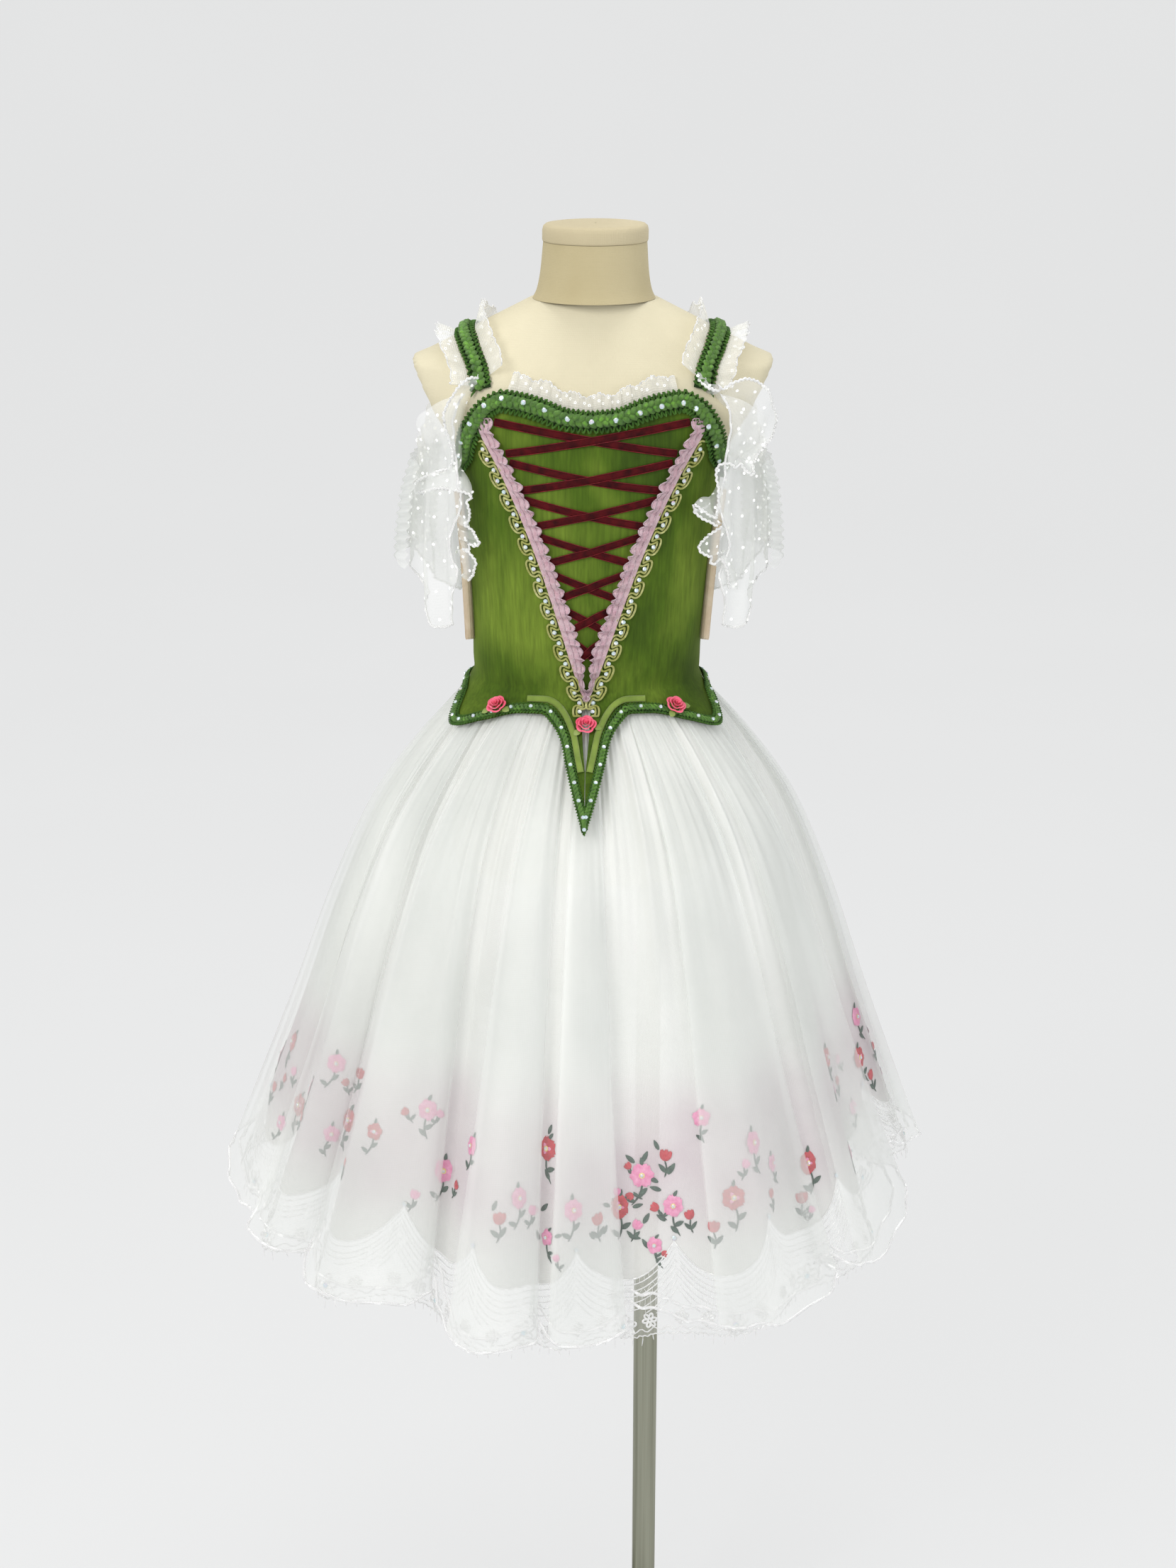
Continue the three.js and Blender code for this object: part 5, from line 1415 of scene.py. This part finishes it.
def make_net(side, sign):
    at = np.linspace(NET["from"], NET["to"], 70)[None, :]
    v = np.linspace(0, 1, 121)[:, None]
    z = NET["low"] + (NET["top"] - NET["low"]) * v
    share = (at - NET["from"]) / (NET["to"] - NET["from"])
    pleat = 2.2 + 1.5 * np.cos(2 * np.pi * (11 + 5 * share) * (v + 0.14 * share * (1 - v)))
    # Over the flounce's folds, with a rough edge behind
    around = (at - SLEEVE_FROM) / (SLEEVE_TO - SLEEVE_FROM)
    clear = sleeve_end(z) + sleeve_middle(z) * np.sin(np.pi * around) ** 0.6 + 2 * sleeve_depth(z) + 4
    frayed = (share > 0.9) * (1 - np.abs(2 * share - 1)) * np.sin(v * 160 + 9 * share)
    points = place(sign * at, form_radius(at, z) + clear + pleat + NET["flare"] * (1 - v) + frayed, z)
    bag = Bag()
    add_grid(bag, points)
    piece = bag.make("net_fan_" + side, [MAT["net"]], ["sleeve_net_" + side])


def make_armband(side, sign):
    """Elastic band that hangs as a flat loop beside the bodice."""
    half, top, low = 2.15, ARMBAND["top"], ARMBAND["low"]
    turn = np.linspace(0, np.pi, 9)
    down = np.linspace(top, low, 26)[1:-1]
    across = np.concatenate([half * np.cos(turn), np.full(24, -half),
                             half * np.cos(turn + np.pi), np.full(24, half)])
    z = np.concatenate([top + half * np.sin(turn), down, low + half * np.sin(turn + np.pi), down[::-1]])
    centre = bodice_radius(ARMBAND["at"], z)
    foot, normals = over(bodice_radius, sign * ARMBAND["at"] + np.degrees(across / centre), z, 0.7)
    ahead = unit(np.roll(foot, -1, 0) - np.roll(foot, 1, 0))
    side_way = unit(np.cross(ahead, normals))
    corners = ((0, -0.65), (8, -0.65), (8, 0.65), (0, 0.65))
    points = np.stack([foot + side_way * w + normals * h for h, w in corners], 1)
    bag = Bag()
    count = len(foot)
    faces = grid_faces(count, 4, True).tolist()
    faces += [[(count - 1) * 4 + k, (count - 1) * 4 + (k + 1) % 4, (k + 1) % 4, k] for k in range(4)]
    uv = np.stack(np.meshgrid(np.arange(4) * 0.004, run_length(foot) * MM), -1)
    bag.add(points, faces, uv)
    bag.make("armband_" + side, [MAT["elastic"]], ["sleeve_elastic_" + side])


for side, sign in (("left", -1), ("right", 1)):
    make_flounce(side, sign)
    make_lobes(side)
    make_net(side, sign)
    make_armband(side, sign)

# Scalloped lace border

# Threads along the top edge, in mm below it
LACE_LAYERS = (0.5, 5.5, 11.5, 16.5)
# Level of the mesh's lowest thread, and the flowers of each scallop: share, level, radius
MESH_FOOT = 541
LACE_FLOWERS = [(0.5, 527, 12), (0.26, 534, 7), (0.74, 534, 7), (0.02, 539, 6.5)]


def lace_foot(u):
    """Level of the border's foot: scallops with a finer wave."""
    share = (np.asarray(u, float) / scallop) % 1
    return 524 - 9 * np.sin(np.pi * share) ** 2 - 1.6 * np.abs(np.sin(np.pi * share * 9)) + side_rise(u)


def lace_line(bag, start, share, z, radius, lift=0.9, sides=4):
    """Thread through places given by their share of a scallop and their level."""
    u = start + np.asarray(share, float) * scallop
    points, normals = skirt_point(u, np.asarray(z, float), "base", lift)
    add_tube(bag, points, radius, sides, normals=normals)


def lace_flower(bag, start, share, z, radius, petals=6):
    """Open ring petals round a ring."""
    z = z + side_rise(start + share * scallop)
    mid, normal = skirt_point(start + share * scallop, np.float64(z), "base", 1.3)
    side = unit(np.cross([0, 0, 1.0], normal))
    up = np.cross(normal, side)

    def ring(centre_a, centre_b, size, stretch, lean, thick, count=12):
        t = np.arange(count) * 2 * np.pi / count
        a = centre_a + size * (np.cos(t) * math.cos(lean) * stretch - np.sin(t) * math.sin(lean))
        b = centre_b + size * (np.cos(t) * math.sin(lean) * stretch + np.sin(t) * math.cos(lean))
        path = mid + a[:, None] * side + b[:, None] * up
        add_tube(bag, path, thick, 4, True, np.tile(normal, (count, 1)))

    ring(0, 0, radius * 0.2, 1, 0, 0.65, 8)
    for k in range(petals):
        lean = 2 * np.pi * k / petals + 0.3
        ring(radius * 0.6 * math.cos(lean), radius * 0.6 * math.sin(lean), radius * 0.24, 1.5, lean, 0.95)


def lace_top_rows(bag, start, fine):
    """Threads along the border's top, tied by short threads."""
    top = lace_top(start + fine * scallop)
    for down in LACE_LAYERS:
        lace_line(bag, start, fine, top - down, 0.75 if down < 1 else 0.55)
    for j in range(22):
        s = (j + 0.5) / 22
        at = lace_top(start + s * scallop)
        lace_line(bag, start, [s, s], [at - LACE_LAYERS[0], at - LACE_LAYERS[1]], 0.45)
        lean = 0.018 if j % 2 else -0.018
        lace_line(bag, start, [s - lean, s + lean], [at - LACE_LAYERS[2], at - LACE_LAYERS[3]], 0.45)


def lace_mesh(bag, start, fine):
    """Four more threads on each side of the scallop's middle, tied in turn."""
    top = lace_top(start + fine * scallop)
    for row in range(4):
        down = 22 + 6.5 * row
        inside = fine[top - down > MESH_FOOT + side_rise(start)]
        for part in (inside[inside < 0.5], inside[inside > 0.5]):
            if len(part) < 3:
                continue
            lace_line(bag, start, part, lace_top(start + part * scallop) - down, 0.5)
            for s in part[row % 2::2]:
                at = lace_top(start + s * scallop) - down
                lace_line(bag, start, [s, s + 0.006], [at, at + 6.3], 0.42)


def make_lace(name, node, first, last):
    u = np.linspace(first * scallop, last * scallop, (last - first) * 40 + 1)
    v = np.linspace(0, 1, 14)[:, None]
    low, high = lace_foot(u)[None, :], lace_top(u)[None, :] - 0.4
    points, _ = skirt_point(u[None, :], low + (high - low) * v, "base")
    ground = Bag()
    add_grid(ground, points)
    piece = ground.make("lace_ground_" + name, [MAT["lace_net"]], [node])
    bag = Bag()
    fine = np.linspace(0, 1, 41)
    for k in range(first, last):
        start = k * scallop
        lace_top_rows(bag, start, fine)
        lace_mesh(bag, start, fine)
        for share, level, radius in LACE_FLOWERS:
            lace_flower(bag, start, share, level, radius)
        foot = lace_foot(start + fine * scallop)
        picot = 1.3 * np.abs(np.sin(np.pi * fine * 20))
        lace_line(bag, start, fine, foot - picot + 1, 0.7)
        lace_line(bag, start, fine, foot + 6 + 1.5 * np.sin(2 * np.pi * fine * 8), 0.6)
    bag.make("lace_threads_" + name, [MAT["lace"]])


def make_fringe(name, first, last):
    """Eyelash fringe: eleven strands below each scallop, the longest in its middle."""
    bag = Bag()
    drop = np.linspace(0, 1, 4)
    for k in range(first, last):
        for j in range(11):
            s = (j + 0.5) / 11
            long = 9 + 2.5 * math.sin(j * 2.1 + k)
            z = lace_foot((k + s) * scallop) - drop * long * (0.75 + 0.25 * math.sin(math.pi * s))
            lean = 0.012 * math.sin(j * 1.7 + k * 0.9) * drop ** 2
            lace_line(bag, k * scallop, s + lean, z, 0.42)
    bag.make("eyelash_fringe_" + name, [MAT["lace"]])


for name, first, last in (("front", -5, 6), ("back", 6, 16)):
    make_lace(name, "skirt_lace_" + name, first, last)
    make_fringe(name, first, last)
for k in range(SCALLOPS):
    for share, level, lift, size in ((0, 609, 1.2, 2.2), (0.5, 527, 2.2, 2.4)):
        u = (k + share) * scallop
        point, normal = skirt_point(u, level + side_rise(u), "base", lift)
        stones([point], [normal], size)

# Embroidery on the ground layer

# Blooms: angle, level, radius, colour, petals, squeeze, lean of the stem
BLOOMS = [
    (-5.9, 693, 12, "red", 6, 0.95, -14), (12.4, 665, 12, "pink", 6, 1, 28),
    (8.1, 636, 12, "red", 6, 0.72, 5), (17.4, 640, 11, "pink", 6, 0.9, -12),
    (14.0, 603, 8.5, "pink", 5, 0.95, -22), (-5.1, 616, 8.5, "pink", 5, 0.9, -20),
    (46.6, 644, 12, "red", 6, 0.7, 8), (-53.4, 667, 12, "red", 6, 0.7, -6),
    (27.9, 643, 12, "red", 6, 1, 5), (33.4, 686, 12, "pink", 6, 0.95, -8),
    (-10.5, 652, 11, "pink", 6, 0.8, 5), (-0.7, 645, 11, "pink", 6, 0.9, 10),
    (-33.1, 705, 11, "pink", 6, 0.9, -10), (-28.1, 650, 12, "pink", 6, 1, 12),
    (-55.5, 652, 9, "pink", 5, 1, 0), (-57.3, 721, 10, "pink", 6, 1, 12),
    (38.9, 654, 9, "pink", 5, 1, -18), (-20.5, 690, 10, "pink", 6, 0.9, 14),
    (24.0, 716, 9, "pink", 5, 1, 0), (-41, 684, 9, "red", 5, 0.9, 12)]
# Buds: angle, level, length, colour, lean
BUDS = [
    (16.5, 680, 13, "red", 8), (10.3, 671, 8, "red", -48), (10.6, 648, 9, "red", -130),
    (7.6, 646, 9, "pink", 12), (10.7, 617, 11, "pink", 34), (4.1, 623, 14, "red", -10),
    (15.0, 636, 10, "red", -72), (15.1, 597, 7, "red", 100), (-8.3, 633, 11, "pink", 30),
    (-13.1, 633, 14, "red", 6), (44.5, 607, 14, "red", -4), (45.3, 598, 8, "pink", 40),
    (-53.6, 708, 13, "red", 12), (-55.1, 700, 9, "red", -40), (23.9, 614, 13, "red", 5),
    (20.3, 627, 11, "red", -12), (-33.1, 622, 11, "pink", 24), (-36.2, 702, 9, "red", -60),
    (-31.0, 700, 9, "pink", 50), (30.5, 668, 10, "pink", 40), (-24.6, 640, 10, "red", 30),
    (-47.0, 640, 11, "red", -14), (36.5, 628, 11, "red", 14), (-3.0, 600, 8, "pink", -40)]
# Leaves: angle, level, length, lean from upright
LEAVES = [
    (-5.8, 706, 9, 12), (15.6, 689, 9, -30), (12.6, 677, 10, 24), (11.1, 676, 10, -50),
    (16.9, 668, 11, 30), (15.2, 660, 10, -70), (15.6, 653, 10, -80), (6.3, 637, 9, -70),
    (10.5, 636, 9, 70), (12.3, 622, 10, 28), (9.7, 610, 10, 100), (16.0, 626, 9, -60),
    (12.9, 600, 9, -35), (-6.6, 611, 9, -30), (-6.5, 637, 10, 38), (-14.4, 645, 9, 20),
    (5.0, 613, 8, 30), (3.2, 612, 8, -34), (45.7, 618, 8, 30), (-3.7, 620, 8, 60)]
# The sprays behind: first and last place round the skirt and their distance, in degrees
SPRAY_FROM, SPRAY_TO, SPRAY_STEP = 68, 296, 17.0
# Which threads the two colours of flowers take
THREADS = {"red": 0, "pink": 1}


def pad(bag, foot, normal, side, up, length, width, lean, dome, mark, notch=0.0):
    """Satin-stitched pad: a pointed oval, domed, from its foot along its lean."""
    out = math.sin(math.radians(lean)) * side + math.cos(math.radians(lean)) * up
    flat = np.cross(normal, out)
    v = np.linspace(0, 1, 7)[:, None]
    w = np.linspace(-1, 1, 5)[None, :]
    half = width / 2 * np.sin(np.pi * np.clip(v, 0.03, 0.97) ** 0.8) ** 0.65
    reach = length * v * (1 - notch * (1 - w ** 2) * v ** 3)
    height = dome * np.sin(np.pi * np.clip(v, 0.02, 0.98)) ** 0.5 * (1 - w ** 2) ** 0.7
    points = foot + reach[..., None] * out + (w * half)[..., None] * flat + height[..., None] * normal
    length_uv, across_uv = reach * MM, (w * half + width) * MM
    bag.add(points, grid_faces(7, 5), np.stack([across_uv, length_uv + 0 * w], -1), mark)


def tangent_frame(u, z, lift=0.5):
    """A place on the embroidered layer: its point, normal, sideways and upward directions."""
    foot, normal = skirt_point(u, np.float64(z), "base", lift)
    ahead = skirt_point(u + 0.2, np.float64(z), "base", lift)[0] - foot
    side = unit(ahead - normal * (ahead * normal).sum())
    return foot, normal, side, np.cross(normal, side)


def stem(bag, u, z, lean, length, radius=0.85):
    """Curved stem that runs down from a place and keeps to the cloth."""
    s = np.linspace(0, 1, 8)
    run = length * s
    bend = 0.12 * length * np.sin(np.pi * s) * (1 if lean > 0 else -1)
    slide = -math.sin(math.radians(lean)) * run + bend
    drop = math.cos(math.radians(lean)) * run
    around = np.degrees(slide / 310.0)
    points, normals = skirt_point(u + around, z - drop, "base", 0.5)
    add_tube(bag, points, radius, 4, normals=normals, mark=2)
    return u + around, z - drop


def bloom(bag, u, z, radius, colour, petals, squeeze, lean):
    """Flower of two rings of petals with a gold middle and a stone, on a stem with three leaves."""
    foot, normal, side, up = tangent_frame(u, z, 0.8)
    petal_side = side * squeeze
    mark = THREADS[colour]
    reach_u, reach_z = stem(bag, u, z - radius * 0.5, lean, radius * 2.0)
    for k, turn in ((4, 58), (6, -52)):
        leaf_frame = tangent_frame(reach_u[k], reach_z[k])
        pad(bag, *leaf_frame, radius * 0.85, radius * 0.42, turn - lean * 0.4, 0.7, 2)
    pad(bag, foot + up * radius * 0.75, normal, side, up, radius * 0.65, radius * 0.3, 18 - lean, 0.6, 2)
    for k in range(petals):
        turn = 360 * k / petals + lean
        petal_foot = foot + normal * 0.12 * (k % 2)
        pad(bag, petal_foot, normal, petal_side, up, radius, radius * 1.05, turn, 1.0, mark, 0.12)
    for k in range(petals):
        turn = 360 * (k + 0.5) / petals + lean
        # Every other inner petal of a red flower is pink
        inner_mark = 1 if colour == "red" and k % 2 else mark
        petal_foot = foot + normal * 0.7
        pad(bag, petal_foot, normal, petal_side, up, radius * 0.5, radius * 0.5, turn, 0.7, inner_mark)
    ring = np.arange(8)[:, None] * np.pi / 4
    rim = foot + normal * 1.5 + radius * 0.24 * (np.cos(ring) * petal_side + np.sin(ring) * up)
    bag.add(np.vstack([rim, foot + normal * 2.1]), [[i, (i + 1) % 8, 8] for i in range(8)], mark=3)
    stones([foot + normal * 2.0], [normal], 1.7)


def bud(bag, u, z, length, colour, lean):
    """Three pads close together on a stem with two leaves."""
    mark = THREADS[colour]
    reach_u, reach_z = stem(bag, u, z, lean * 0.5, length * 1.15, 0.75)
    foot, normal, side, up = tangent_frame(u, z, 0.7)
    width = length * 0.5
    for turn in (-26, 26, 0):
        pad_foot = foot + normal * 0.2 * (turn == 0)
        pad(bag, pad_foot, normal, side, up, length * 0.85, width, lean + turn, 0.9, mark, 0.1)
    leaf_frame = tangent_frame(reach_u[5], reach_z[5])
    for turn in (42, -44):
        pad(bag, *leaf_frame, length * 0.8, length * 0.34, turn, 0.6, 2)


def back_spray(bag, k, middle):
    """Three blooms and three buds behind, varied from spray to spray."""
    first, second = ("red", "pink") if k % 2 else ("pink", "red")
    sway = 2.2 * math.sin(k * 1.9)
    bloom(bag, middle + sway, 655 + 9 * math.sin(k * 2.3), 12, first, 6, 0.95, 14 - 28 * (k % 2))
    bloom(bag, middle + 5.6, 690 + 10 * math.sin(k * 1.3), 11, second, 6, 0.9, -10)
    bloom(bag, middle - 4.6, 617 + 5 * math.sin(k), 8.5, "pink", 5, 1, 16)
    bud(bag, middle + 4.4, 629 + 5 * math.cos(k), 13, "red", -8)
    bud(bag, middle - 5.4, 674 + 6 * math.cos(k * 1.7), 11, "pink", -32)
    bud(bag, middle + 8.4, 655, 11, "red", 26)


def make_embroidery():
    bag = Bag()
    for row in BLOOMS:
        bloom(bag, *row)
    for row in BUDS:
        bud(bag, *row)
    for u, z, length, lean in LEAVES:
        pad(bag, *tangent_frame(u, z), length * 1.1, length * 0.46, lean, 0.7, 2)
    for k, middle in enumerate(np.arange(SPRAY_FROM, SPRAY_TO, SPRAY_STEP)):
        back_spray(bag, k, middle)
    bag.make("embroidered_sprays", [MAT["red"], MAT["pink"], MAT["sage"], MAT["gold"]])


make_embroidery()
gems.make("rhinestones", [MAT["crystal"]])
